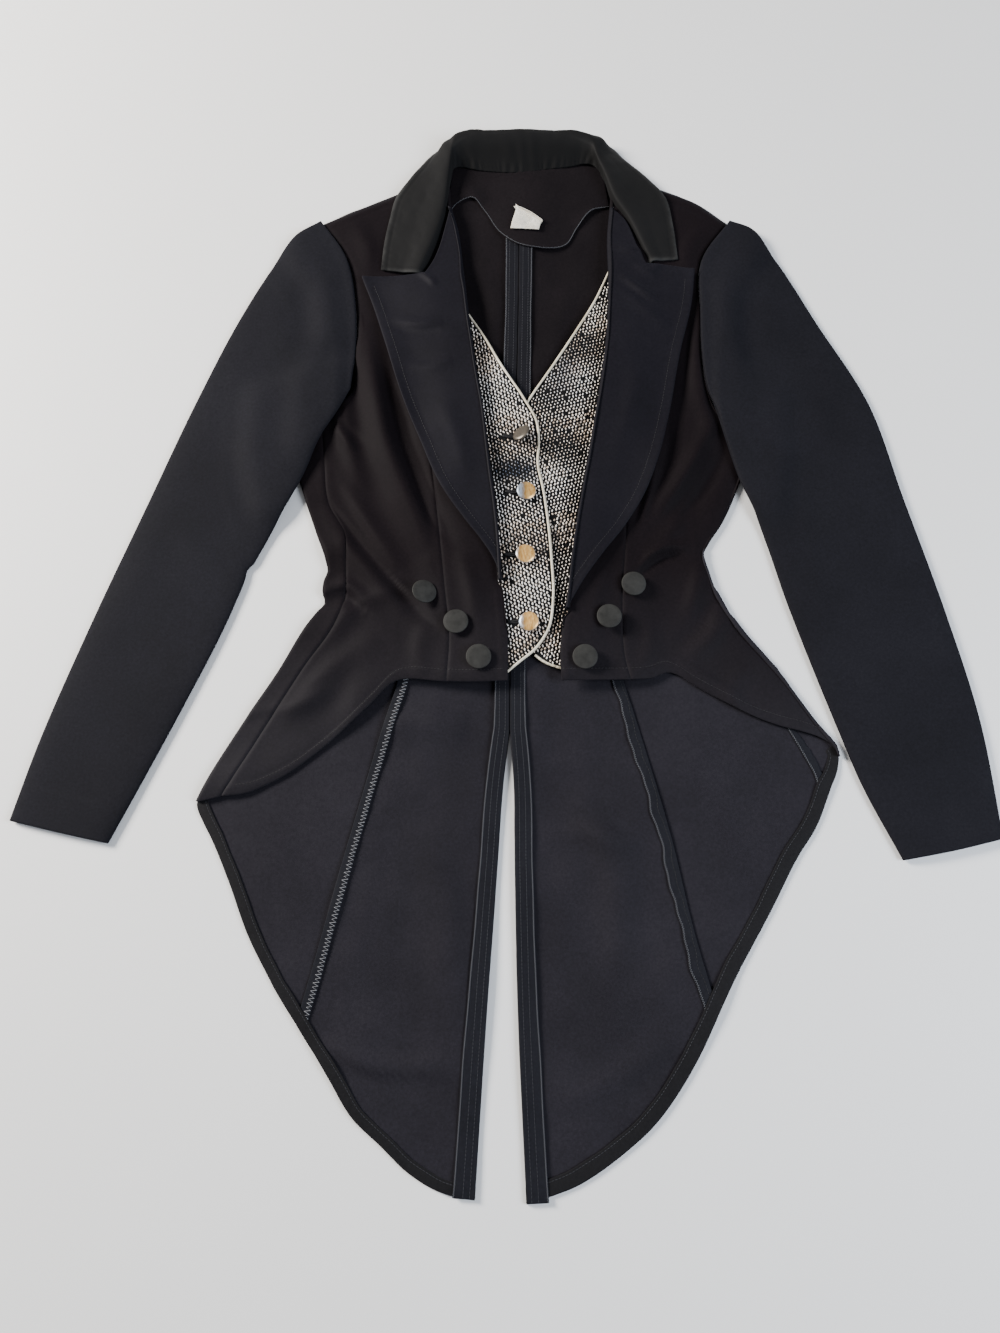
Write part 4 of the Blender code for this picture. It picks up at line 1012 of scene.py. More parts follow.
def collar_brushed() -> bpy.types.Material:
    """Brushed charcoal satin of the collar, rubbed paler along its edges, with painted shade that darkens the
    stand.
    """
    s = Shader("collar_brushed")
    patches = s.noise(28.0, 5.0, 0.62)
    nap = s.noise(1100.0, 3.0, 0.7)
    base = s.mix(s.math("MULTIPLY", patches, 0.9), (0.0042, 0.0041, 0.0043), (0.0090, 0.0089, 0.0091))
    rubbed = s.math("MULTIPLY", s.value("wear_and_shade"), s.math("ADD", s.math("MULTIPLY", patches, 2.6), -0.75))
    rubbed = s.math("MAXIMUM", s.math("MINIMUM", rubbed, 1.0), 0.0)
    # Painted shade: below 0 the value darkens the stand's colour and gloss.
    painted_stand_shade = s.ramp(s.math("MULTIPLY", s.value("wear_and_shade"), -1.0), (0.0, (1.0,)), (1.0, (0.66,)))
    base = s.mix(1.0, base, painted_stand_shade, "MULTIPLY")
    s.set(Base_Color=s.mix(rubbed, base, (0.060, 0.060, 0.058)))
    s.set(Roughness=s.math("ADD", s.math("MULTIPLY", nap, 0.2), 0.62))
    s.set(Specular_IOR_Level=s.math("MULTIPLY", painted_stand_shade, 0.11))
    s.set(Sheen_Weight=0.06, Sheen_Roughness=0.35, Sheen_Tint=(0.95, 0.96, 0.96, 1.0))
    s.bump(s.math("ADD", nap, s.math("MULTIPLY", s.noise(220.0, 3.0), 0.8)), 0.09 * MM, 0.7)
    return s.material


@dataclass(frozen=True)
class KnitGround:
    """The black knit under the metallic yarn, with its columns as fine ribs."""

    name: str
    turn: float

    def build(self) -> bpy.types.Material:
        """Make the material."""
        s = Shader(self.name)
        ribs = s.bands(3.0 * MM, self.turn, 0.3)
        rows = s.bands(3.4 * MM, self.turn + math.pi / 2, 0.3)
        fibres = s.noise(900.0, 3.0)
        s.set(Base_Color=s.ramp(fibres, (0.3, (0.0020, 0.0020, 0.0026)), (0.75, (0.0065, 0.0060, 0.0062))))
        s.set(Roughness=0.7, Specular_IOR_Level=0.1, Sheen_Weight=0.02)
        s.bump(s.math("ADD", s.math("ADD", ribs, rows), s.math("MULTIPLY", fibres, 0.6)), 0.35 * MM, 0.8)
        return s.material


def metallic_yarn() -> bpy.types.Material:
    """Lurex yarn: silver, cream and a little gold, from loop to loop, turned blue-black in one patch by a
    painted reflection.
    """
    s = Shader("metallic_yarn")
    tone = s.value("tone")
    colour = s.ramp(
        tone, (0.0, (0.13, 0.11, 0.10)), (0.2, (0.62, 0.48, 0.36)), (0.4, (0.97, 0.86, 0.75)),
        (1.0, (1.0, 0.98, 0.94)),
    )
    twist = s.noise(2600.0, 2.0, 0.6)
    colour = s.mix(s.math("MULTIPLY", twist, 0.3), colour, (0.34, 0.30, 0.24))
    # Painted reflection: in its patch the yarn's colour turns a dark blue.
    s.set(Base_Color=s.mix(s.value("painted_reflection"), colour, (0.035, 0.05, 0.085)))
    s.set(Roughness=s.math("ADD", s.math("MULTIPLY", twist, 0.25), 0.26))
    s.set(Metallic=0.1, Specular_IOR_Level=0.9)
    s.bump(twist, 0.08 * MM, 0.6)
    return s.material


@dataclass(frozen=True)
class Thread:
    """Sewing thread with a fine twist."""

    name: str
    colour: Triple
    gloss: float = 0.5

    def build(self) -> bpy.types.Material:
        """Make the material."""
        s = Shader(self.name)
        twist = s.noise(1900.0, 2.0, 0.6)
        deep = tuple(c * 0.55 for c in self.colour)
        s.set(Base_Color=s.ramp(twist, (0.3, deep), (0.7, self.colour)), Roughness=self.gloss)
        s.set(Sheen_Weight=0.06, Specular_IOR_Level=0.3)
        s.bump(twist, 0.05 * MM, 0.6)
        return s.material


def piping_cord() -> bpy.types.Material:
    """Pale metallic cord, wound round with a fine thread."""
    s = Shader("piping_cord")
    wound = s.math("SINE", s.math("MULTIPLY", s.value("along"), 2 * math.pi / (0.9 * MM)))
    grain = s.noise(700.0, 3.0)
    tint = s.noise(22.0, 3.0)
    base = s.ramp(tint, (0.35, (0.62, 0.55, 0.40)), (0.65, (0.86, 0.80, 0.66)))
    s.set(Base_Color=s.mix(s.math("MULTIPLY", grain, 0.45), base, (0.36, 0.31, 0.21)))
    s.set(Roughness=0.42, Metallic=0.15, Sheen_Weight=0.1)
    s.bump(s.math("ADD", s.math("MULTIPLY", wound, 0.5), grain), 0.12 * MM, 0.7)
    return s.material


def button_horn() -> bpy.types.Material:
    """Matte dark button: turned rings, a dusty bloom and a few fine scratches."""
    s = Shader("button_horn")
    rings = s.math("SINE", s.math("MULTIPLY", s.value("radius"), 2 * math.pi / (0.55 * MM)))
    bloom = s.noise(120.0, 4.0, 0.65)
    grain = s.noise(1300.0, 2.0)
    s.set(Base_Color=s.ramp(bloom, (0.3, (0.0120, 0.0118, 0.0108)), (0.72, (0.0255, 0.0252, 0.0232))))
    s.set(Roughness=s.math("ADD", s.math("MULTIPLY", bloom, 0.25), 0.50), Specular_IOR_Level=0.22)
    s.bump(s.math("ADD", s.math("MULTIPLY", rings, 0.35), grain), 0.05 * MM, 0.6)
    return s.material


def button_metal() -> bpy.types.Material:
    """Brushed pale gold on the dome, silver where the rim is rubbed through, and toward its left side darker
    gold turning silver as painted reflection.
    """
    s = Shader("button_metal")
    brushed = s.noise(420.0, 4.0, 0.65, s.place(stretch=(1.6, 0.5, 1.0), turn=0.15))
    worn = s.math("MULTIPLY", s.value("radius"), 1.0 / (8.8 * MM))
    # Painted reflection: the value grows toward the left side, where gold darkens and turns silver; the
    # per-button offset adds rubbing, above 1 dull pewter.
    bare_and_reflection = s.math("ADD", s.value("bare_and_reflection"), s.math("MULTIPLY", brushed, 0.3))
    gold = s.ramp(brushed, (0.34, (0.60, 0.29, 0.07)), (0.66, (1.0, 0.64, 0.24)))
    silver = s.ramp(brushed, (0.3, (0.20, 0.235, 0.28)), (0.7, (0.46, 0.52, 0.60)))
    gold = s.mix(1.0, gold, s.ramp(bare_and_reflection, (0.45, (1.0,)), (0.72, (0.42,))), "MULTIPLY")
    rim = s.ramp(worn, (0.93, (0.0,)), (0.99, (0.8,)))
    rubbed = s.math("MAXIMUM", rim, s.ramp(bare_and_reflection, (0.66, (0.0,)), (0.86, (1.0,))))
    pewter = s.ramp(s.math("SUBTRACT", bare_and_reflection, 1.0), (0.12, (0.0,)), (0.2, (1.0,)))
    s.set(Base_Color=s.mix(pewter, s.mix(rubbed, gold, silver), (0.105, 0.090, 0.072)))
    s.set(Metallic=0.62, Roughness=s.math("ADD", s.math("MULTIPLY", brushed, 0.2), 0.30))
    s.bump(brushed, 0.05 * MM, 0.5)
    return s.material


def label_weave() -> bpy.types.Material:
    """Cream woven label, a little yellowed and fuzzy."""
    s = Shader("label_weave")
    stain = s.noise(60.0, 4.0, 0.6)
    weave = s.math("ADD", s.bands(0.35 * MM, 0.1, 0.2), s.bands(0.35 * MM, 1.67, 0.2))
    s.set(Base_Color=s.ramp(stain, (0.3, (0.60, 0.54, 0.43)), (0.65, (0.78, 0.74, 0.65))))
    s.set(Roughness=0.7, Sheen_Weight=0.3, Subsurface_Weight=0.05)
    s.bump(weave, 0.07 * MM, 0.7)
    return s.material


def floor_plain() -> bpy.types.Material:
    """The plain pale floor."""
    s = Shader("floor_plain")
    cloud = s.noise(1.4, 3.0)
    s.set(Base_Color=s.ramp(cloud, (0.2, (0.82, 0.815, 0.80)), (0.8, (0.87, 0.87, 0.865))))
    s.set(Roughness=0.55)
    return s.material


@dataclass
class Wardrobe:
    """The finishes, each made once."""

    face: bpy.types.Material = field(init=False)

    def __post_init__(self) -> None:
        """Make every finish of the coat."""
        self.face = Suiting("suiting_face").build()
        # upper: the span along Y over which painted shade darkens the inside and allowances toward the neck;
        # even: no painted shade
        even, upper = (1.0, 1.0, 1.0), (0.025, 0.175)
        self.lapel = Suiting(
            "suiting_lapel", (0.0046, 0.0041, 0.0060), (0.0090, 0.0083, 0.0118), 0.055, 0.60, 1.4, 0.075,
            above=even,
        ).build()
        self.sleeve = Suiting(
            "suiting_sleeve", (0.0062, 0.0061, 0.0080), (0.0118, 0.0116, 0.0150), 0.045, 0.74, 0.9, 0.055,
            above=even,
        ).build()
        # Painted shade: the inside darkens toward the neck, as the face does toward the collar.
        self.inside = Suiting(
            "suiting_inside", (0.0080, 0.0073, 0.0098), (0.0190, 0.0174, 0.0224), 0.055, 0.70, 0.2, 0.075,
            upper, (0.58, 0.50, 0.44),
        ).build()
        self.allowance = Suiting(
            "suiting_allowance", (0.0062, 0.0064, 0.0088), (0.0110, 0.0113, 0.0150), 0.07, 0.62, 1.1, 0.08,
            upper, (0.9, 0.88, 0.85),
        ).build()
        self.hem = Suiting(
            "suiting_hem", (0.0060, 0.0057, 0.0064), (0.0108, 0.0104, 0.0114), 0.06, 0.60, 0.9, 0.08,
            above=even,
        ).build()
        self.collar = collar_brushed()
        leans = ((Side.RIGHT, 0.13), (Side.LEFT, -0.2))
        self.knit = {side: KnitGround(f"knit_ground_{side.value}", turn).build() for side, turn in leans}
        self.yarn = metallic_yarn()
        self.thread = Thread("thread_black", (0.0115, 0.0110, 0.0125)).build()
        self.slate = Thread("thread_slate", (0.026, 0.027, 0.034)).build()
        self.dim_thread = Thread("thread_dusty", (0.125, 0.13, 0.145), 0.6).build()
        self.grey_thread = Thread("thread_grey", (0.30, 0.305, 0.32), 0.6).build()
        self.piping = piping_cord()
        self.horn = button_horn()
        self.metal = button_metal()
        self.label = label_weave()


def dress(
    made: bpy.types.Object, finish: bpy.types.Material, slot: str, *nodes: str,
    inner: bpy.types.Material | None = None,
) -> bpy.types.Object:
    """Give a piece its finish and its place on the coat.

    Args:
        made: The piece.
        finish: Its material.
        slot: The record's material slot. It is not used.
        nodes: The solids that it stands for.
        inner: The material of its inner side, where that differs.

    Returns:
        The piece.
    """
    made.data.materials.append(finish)
    made.data.materials.append(inner or finish)
    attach(made, "root")
    if nodes:
        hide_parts(*nodes)
    log.info("%s: %d faces", made.name, len(made.data.polygons))
    return made


def declare(
    made: bpy.types.Object, grid: np.ndarray,
    around: bool = False, keep: np.ndarray | None = None,
) -> None:
    """State the cut of a piece of cloth: its size along its own long and short ways, and its area.

    Args:
        made: The piece.
        grid: The surface that it was made from.
        around: The grid's last column meets its first one.
        keep: True for the grid's cells that are cloth.
    """
    if around:
        grid = np.concatenate([grid, grid[:, :1]], axis=1)
    a = grid[1:, 1:] - grid[:-1, :-1]
    b = grid[1:, :-1] - grid[:-1, 1:]
    cells = np.linalg.norm(np.cross(a, b), axis=-1) / 2
    area = float((cells if keep is None else cells[keep]).sum())
    length = float(np.median(np.linalg.norm(np.diff(grid, axis=0), axis=-1).sum(axis=0)))
    across = np.linalg.norm(np.diff(grid, axis=1), axis=-1).sum(axis=1)
    width = float(across.max())
    length = max(length, area / width * 1.001)
    log.info("%s: cut %.0f x %.0f mm, %.4f m2", made.name, width / MM, length / MM, area)


def wrapped_side(
    fold: np.ndarray, seam: np.ndarray, first_z: np.ndarray, last_z: np.ndarray, outward: float,
    leg: int = 10,
) -> tuple[np.ndarray, np.ndarray]:
    """Where cloth turns over at the body's side: the half circle round the fold and the leg to the seam.

    Args:
        fold: The fold's points in plan.
        seam: The seam's points in plan.
        first_z: The outer side's heights before the fold.
        last_z: Its heights after the fold.
        outward: The side of the fold's course that is off the body.
        leg: Columns of the leg.

    Returns:
        The half circle with the leg as one grid, and the points where it starts.
    """
    out = square_to(fold) * outward
    radius = np.abs(last_z - first_z) / 2
    centre = fold - out * radius[:, None]
    angle = math.pi * np.arange(1, FOLD_STEPS) / FOLD_STEPS
    plan = centre[:, None] + out[:, None] * (radius[:, None] * np.sin(angle))[..., None]
    arc = raised(plan, first_z[:, None] + (last_z - first_z)[:, None] * (1 - np.cos(angle)) / 2)
    share = crowded(leg, 0.0, 0.8)[None, :, None]
    back = centre[:, None] * (1 - share) + seam[:, None] * share
    return np.concatenate([arc, raised(back, last_z[:, None])], axis=1), centre


@dataclass
class BackAndTails:
    """The back, seen from inside in the neck and between the tails: panels, allowances and hems."""

    rows_arm: int = 30
    rows_body: int = 96
    rows_tail: int = 64
    columns: int = 40
    under_columns: int = 24
    centre_strip_widths: tuple[float, float, float] = (12.0, 12.5, 16.5)
    centre_strip_end: float = 1.0
    centre_strip_top: float = 400 * MM
    centre_length: float = 920 * MM
    tail_seam_top: float = -55 * MM
    hip_seam: Table = listed([(242, -116), (252, -135), (257.4, -146), (263.5, -159), (266, -170)])
    hip_corner: Table = listed([
        (279.5, -132.5), (283.6, -137), (286, -143.5), (285, -150.5), (282, -160), (277, -170),
    ])
    tail_creases: list[Crease] = listed([
        Crease([(-149, -372), (-104, -391), (-42, -391)], 5, 8, 0.9),
        Crease([(-150, -384), (-108, -402), (-60, -404)], 6, 4, -0.5),
        Crease([(-118, -117), (-80, -112), (-30, -118)], 10, 14, 0.8),
        Crease([(-60, -210), (-44, -300), (-48, -380)], 14, 20, 0.7),
        Crease([(-160, -215), (-150, -262), (-168, -300)], 14, 9, 0.6),
        Crease([(48, -205), (80, -210), (116, -224)], 7, 11, 0.8),
        Crease([(60, -160), (92, -250), (88, -330)], 18, 13, 0.8),
        Crease([(170, -150), (190, -215), (176, -270)], 12, 16, 0.6),
        Crease([(40, -420), (90, -400), (130, -372)], 12, 8, 0.5),
    ])
    neck_creases: list[Crease] = listed([
        Crease([(-30, 360), (-12, 290), (-18, 210)], 14, 9, 0.6),
        Crease([(60, 330), (52, 270), (30, 200)], 10, 16, 0.7),
    ])

    def plan(self, side: Side) -> np.ndarray:
        """The plan grid of one back panel, from the outer edge to the centre on the right."""
        p = PATTERNS[side]
        down = crowded(self.rows_body, 0.5, 0.0)
        low = crowded(self.rows_tail, 0.0, 0.7)
        across = crowded(self.columns)
        rest = crowded(self.rows_body + self.rows_tail - self.rows_arm, 0, 0.7)
        arm = chain(edge(p.armhole_back, crowded(self.rows_arm, 0.3, 0)), edge(p.back_princess, rest))
        inner = chain(edge(CENTRE_BACK, down), edge(p.vent, low))
        shoulder = edge(p.shoulder_back, across)
        if side is Side.RIGHT:
            return inset(coons(arm, inner, shoulder, edge(p.tail_hem, across)))
        return inset(coons(inner, arm, shoulder, edge(p.tail_hem[::-1], across)))

    def build(self, pile: Pile, wardrobe: Wardrobe) -> None:
        """Lay the back panels, the side back under the left, and all allowances and hems."""
        tops = {}
        for side in Side:
            grid = self.plan(side)
            base = pile.under(grid)
            flat_points = raised(grid, base)
            relief = sum(pressed_seam(edge_distance(flat_points, e)) * 0.5 for e in (Edge.FIRST, Edge.LAST))
            relief += 5.0 * creased(grid, self.tail_creases + self.neck_creases)
            relief += ripple(grid, 1.2, 130, 0.8 if side is Side.RIGHT else 2.1) + ripple(grid, 0.5, 52, 1.3)
            relief = np.maximum(relief + 0.5 * MM, -0.3 * MM)
            tops[side] = raised(grid, base + WALL + relief)
            pile.lay(tops[side])
        tops["side_l"] = self.side_back_left()
        pile.lay(tops["side_l"])
        pile.lay(raised(self.under_right(), WALL + 0.3 * MM))
        strips = {side: self.allowances(side, pile, wardrobe) for side in Side}
        for side in Side:
            name = "back_panel_" + side.value
            made = dress(cloth(name, tops[side], WALL), wardrobe.inside, "wool", "back_" + side.value)
            declare(made, tops[side])
        made = dress(cloth("side_back_panel_l", tops["side_l"], WALL), wardrobe.inside, "wool", "side_back_l")
        declare(made, tops["side_l"])

    def side_back_left(self) -> np.ndarray:
        """The left side back, flat under the body out to the seam that is folded under."""
        p = LEFT
        princess = edge(p.back_princess, crowded(120, 0.4, 0.6))
        outer = chain(edge(p.side_seam, crowded(70, 0.4, 0)), edge(p.tail_edge, crowded(51, 0, 0.6)))
        across = crowded(self.under_columns)
        grid = inset(coons(princess, outer, edge(p.underarm_back, across), edge(p.tail_corner[::-1], across)))
        relief = pressed_seam(edge_distance(raised(grid, 0.0), Edge.FIRST)) * 0.5
        relief += np.abs(ripple(grid, 0.3, 90, 1.4))
        relief += np.maximum(creased(grid, self.tail_creases), 0)
        return raised(grid, WALL + np.maximum(relief, -0.4 * MM))

    def under_right(self) -> np.ndarray:
        """The plan of the right side back, which is laid later but lies lowest."""
        even = np.linspace(0, 1, 80)
        outer = at_shares(joined(RIGHT.side_fold, RIGHT.tail_edge), even)
        top, foot = edge(RIGHT.underarm_back[::-1], even), edge(RIGHT.tail_corner, even)
        return coons(outer, edge(RIGHT.back_princess, even), top, foot)

    def strip(
        self, line: np.ndarray, widths: tuple[float, ...], inward: float, pile: Pile, start: float,
        uneven: float = 0.3, end_along: np.ndarray | None = None,
    ) -> np.ndarray:
        """A turned allowance beside an edge, as the grid of its upper side.

        Its columns run square from the edge inward by the width at each row, and it lies on the pile
        within a few millimetres.

        Args:
            line: The edge.
            widths: Its width at even shares of the edge, in millimetres.
            inward: The sign of the side of the edge that it is on.
            pile: What it lies on.
            start: How far from the edge its first column is.
            uneven: How much its width wanders, in millimetres.
            end_along: The direction that its columns turn to at the line's end.

        Returns:
            The grid.
        """
        across = square_to(line) * inward
        if end_along is not None:
            turn = step_up((np.arange(len(line)) - len(line) + 14) / 13)[:, None]
            across = unit(across * (1 - turn) + end_along * turn)
        along = shares_of(line)
        width = np.interp(along, np.linspace(0, 1, len(widths)), widths) * MM
        share = crowded(9)
        wave = uneven * MM * (0.4 * np.sin(along * 87) + np.sin(along * 31 + np.sin(along * 13)))
        reach = start + (width + wave)[:, None] * share[None]
        plan = line[:, None] + across[:, None] * reach[..., None]
        rest = pile.under(plan, reach=4 * MM)
        level = running(np.maximum(rest, running(rest.max(axis=1, keepdims=True), 4, 0, False)), 8, 0, False)
        puff = 0.2 * MM * np.sin(np.pi * share)[None] + np.abs(ripple(plan, 0.15, 40, 0.5))
        return raised(plan, np.maximum(level, rest) + SEAM_GAP + STRIP_WALL + puff)

    def allowances(self, side: Side, pile: Pile, wardrobe: Wardrobe) -> list[bpy.types.Object]:
        """One side's tail seam allowance, the tail's hem over its end and the centre strip over both."""
        p = PATTERNS[side]
        right = side is Side.RIGHT
        out = 1.0 if right else -1.0
        made = []

        def sew(piece: bpy.types.Object, finish: bpy.types.Material, *nodes: str) -> None:
            """Add one piece to the panel."""
            made.append(dress(piece, finish, "wool", *nodes))

        seam = edge(p.back_princess, np.linspace(0, 1, 500))
        seam = at_shares(seam[seam[:, 1] < self.tail_seam_top], np.linspace(0, 0.985, 110))
        widths = (8.5, 8.5) if right else (9.5, 10.5)
        tail = self.strip(seam, widths, out, pile, SEAM_GAP, uneven=0.2 if right else 1.1)
        name = side.value
        sew(cloth("tail_allowance_" + name, tail, STRIP_WALL), wardrobe.allowance, "tail_strip_" + name)
        if right:
            zigzag = overlock("tail_overlock_r", tail, Edge.LAST, 4.8 * MM, 3.2 * MM, 0.42 * MM)
            sew(zigzag, wardrobe.grey_thread)
        else:
            sew(overlock("tail_overlock_l", tail, Edge.LAST, 1.6 * MM), wardrobe.dim_thread)
            sew(stitch_row("tail_stitches_l", surface_path(tail, Edge.LAST, 7 * MM)), wardrobe.thread)
            hip_line = edge(self.hip_seam, np.linspace(0, 1, 50))
            hip = self.strip(hip_line, (4.0, 7.0, 6.0), 1.0, pile, 0.0)
            sew(cloth("hip_allowance_l", hip, STRIP_WALL), wardrobe.allowance)
            sew(overlock("hip_overlock_l", hip, Edge.FIRST, 1.4 * MM), wardrobe.dim_thread)
            pile.lay(hip)
        pile.lay(tail)

        corner = [] if right else [self.hip_corner]
        rim = joined(*corner, p.tail_edge, p.tail_corner, p.tail_hem)
        rim = at_shares(rim, np.linspace(0.004, 1, 250))
        vent = edge(p.vent, np.linspace(0, 1, 40))
        widths = (9.0, 9.0) if right else (7.0,) + (11.5,) * 11
        hem = self.strip(rim, widths, out, pile, SEAM_GAP * 2, end_along=unit(vent[-6] - vent[-1]))
        sew(cloth("tail_turning_" + name, hem, STRIP_WALL), wardrobe.hem, "tail_hem_" + name)
        sew(stitch_row("tail_hem_stitches_" + name, surface_path(hem, Edge.LAST, 1.8 * MM)), wardrobe.slate)
        pile.lay(hem)

        upper = edge(CENTRE_BACK, np.linspace(0, 1, 400))
        upper = at_shares(upper[upper[:, 1] < self.centre_strip_top], np.linspace(0, 1, 150))
        line = chain(upper, edge(p.vent, np.linspace(0, 1, 110)))
        end = 1 - self.centre_strip_end * MM / self.centre_length
        line = at_shares(line, np.linspace(0, end, 270))
        centre = self.strip(line, self.centre_strip_widths, -out, pile, SEAM_GAP * 2)
        sew(cloth("centre_allowance_" + name, centre, STRIP_WALL), wardrobe.allowance, "centre_strip_" + name)
        lock = overlock("centre_overlock_" + name, centre, Edge.LAST, 1.1 * MM, thread=0.22 * MM)
        sew(lock, wardrobe.dim_thread)
        for far in (3.4, 8.6):
            path = surface_path(centre, Edge.FIRST, far * MM)
            sew(stitch_row(f"centre_stitches_{name}_{int(far)}", path), wardrobe.slate)
        pile.lay(centre)
        return made


@dataclass
class NeckFacing:
    """The facing inside the back neck, wavy along its overlocked lower edge, and the folded blank label."""

    top: Table = listed([(-52, 461), (-20, 458), (15, 457), (50, 459), (97, 464)])
    bottom: Table = listed([
        (-56, 402), (-46, 415), (-33, 420), (-20, 406), (-4, 379), (14, 364), (40, 360), (60, 366), (72, 386),
        (88, 406), (104, 410),
    ])
    label_outline: Table = listed([(6, 381), (33.5, 379.5), (36, 389), (12, 405), (7.5, 389)])

    def build(self, pile: Pile, wardrobe: Wardrobe) -> None:
        """Lay the facing and sew the label to it."""
        across = np.linspace(0, 1, 110)
        top, bottom = edge(self.top, across), edge(self.bottom, across)
        down = crowded(30, 0.2, 0.7)
        sides = [at_shares(np.array([a, b]), down) for a, b in ((top[0], bottom[0]), (top[-1], bottom[-1]))]
        plan = coons(sides[0], sides[1], top, bottom)
        rest = pile.under(plan, reach=8 * MM)
        lift = creased(plan, [
            Crease([(-46, 424), (-33, 424), (-22, 412)], 9, 6, 2.2),
            Crease([(70, 386), (82, 398), (94, 411)], 6, 8, 1.8),
            Crease([(10, 366), (34, 360), (58, 366)], 5, 5, 0.7),
        ])
        surface = raised(plan, rest + SEAM_GAP + STRIP_WALL + lift + np.abs(ripple(plan, 0.4, 60, 0.3)))
        made = dress(cloth("neck_facing", surface, STRIP_WALL), wardrobe.inside, "wool", "back_neck_facing")
        pile.lay(surface)
        lock = overlock("neck_overlock", surface, Edge.BOTTOM, 1.1 * MM, 1.7 * MM, 0.22 * MM)
        edge_thread = dress(lock, wardrobe.dim_thread, "wool")
        declare(made, surface)
        self.label(pile, wardrobe)

    def label(self, pile: Pile, wardrobe: Wardrobe) -> None:
        """The label: a short ribbon, hollow in its middle, with its slanted side rolled over.

        The roll is an arc of 230 degrees round the line between the outline's last corners, with a
        radius that shrinks toward its upper end, where it sticks out.
        """
        a, b, c, d, e = (np.array(p) * MM for p in self.label_outline)
        t, s = np.linspace(0, 1, 26), crowded(22, 0.5, 0.5)
        sides = [at_shares(np.array(corners), s) for corners in ((a, e, d), (b, c))]
        plan = coons(*sides, edge(self.label_outline[:2], t), at_shares(np.array([d, c]), t))
        level = pile.under(plan, reach=4 * MM)
        hollow = -0.9 * MM * bell(np.linalg.norm(plan - plan.mean(axis=(0, 1)), axis=-1), 6 * MM)
        fold = 0.7 * MM * np.sin(np.pi * s)[:, None] * np.sin(2.2 * np.pi * t)[None]
        surface = raised(plan, level + 2.2 * MM + hollow + fold * 0.6 + np.abs(ripple(plan, 0.5, 12, 0.9)))
        made = dress(cloth("neck_label", surface, 0.5 * MM), wardrobe.label, "label", "label")
        corners = [
            d + [-1.5 * MM, 2.6 * MM], d, (c + d) / 2 + [0.3 * MM, 0.5 * MM], c + [0.4 * MM, -0.6 * MM],
        ]
        path = at_shares(np.array(corners), np.linspace(0, 1, 40))
        path = raised(path, pile.under(path, reach=4 * MM) + 2.6 * MM)
        radius = (0.8 + 1.1 * np.sin(np.pi * np.linspace(0.1, 0.75, 40))) * MM
        turn = np.radians(np.linspace(-60, 170, 14))
        roll = path[:, None] - directions_round(path, turn) * radius[:, None, None]
        rolled = dress(cloth("neck_label_roll", roll, 0.45 * MM), wardrobe.label, "label")
        declare(made, surface)


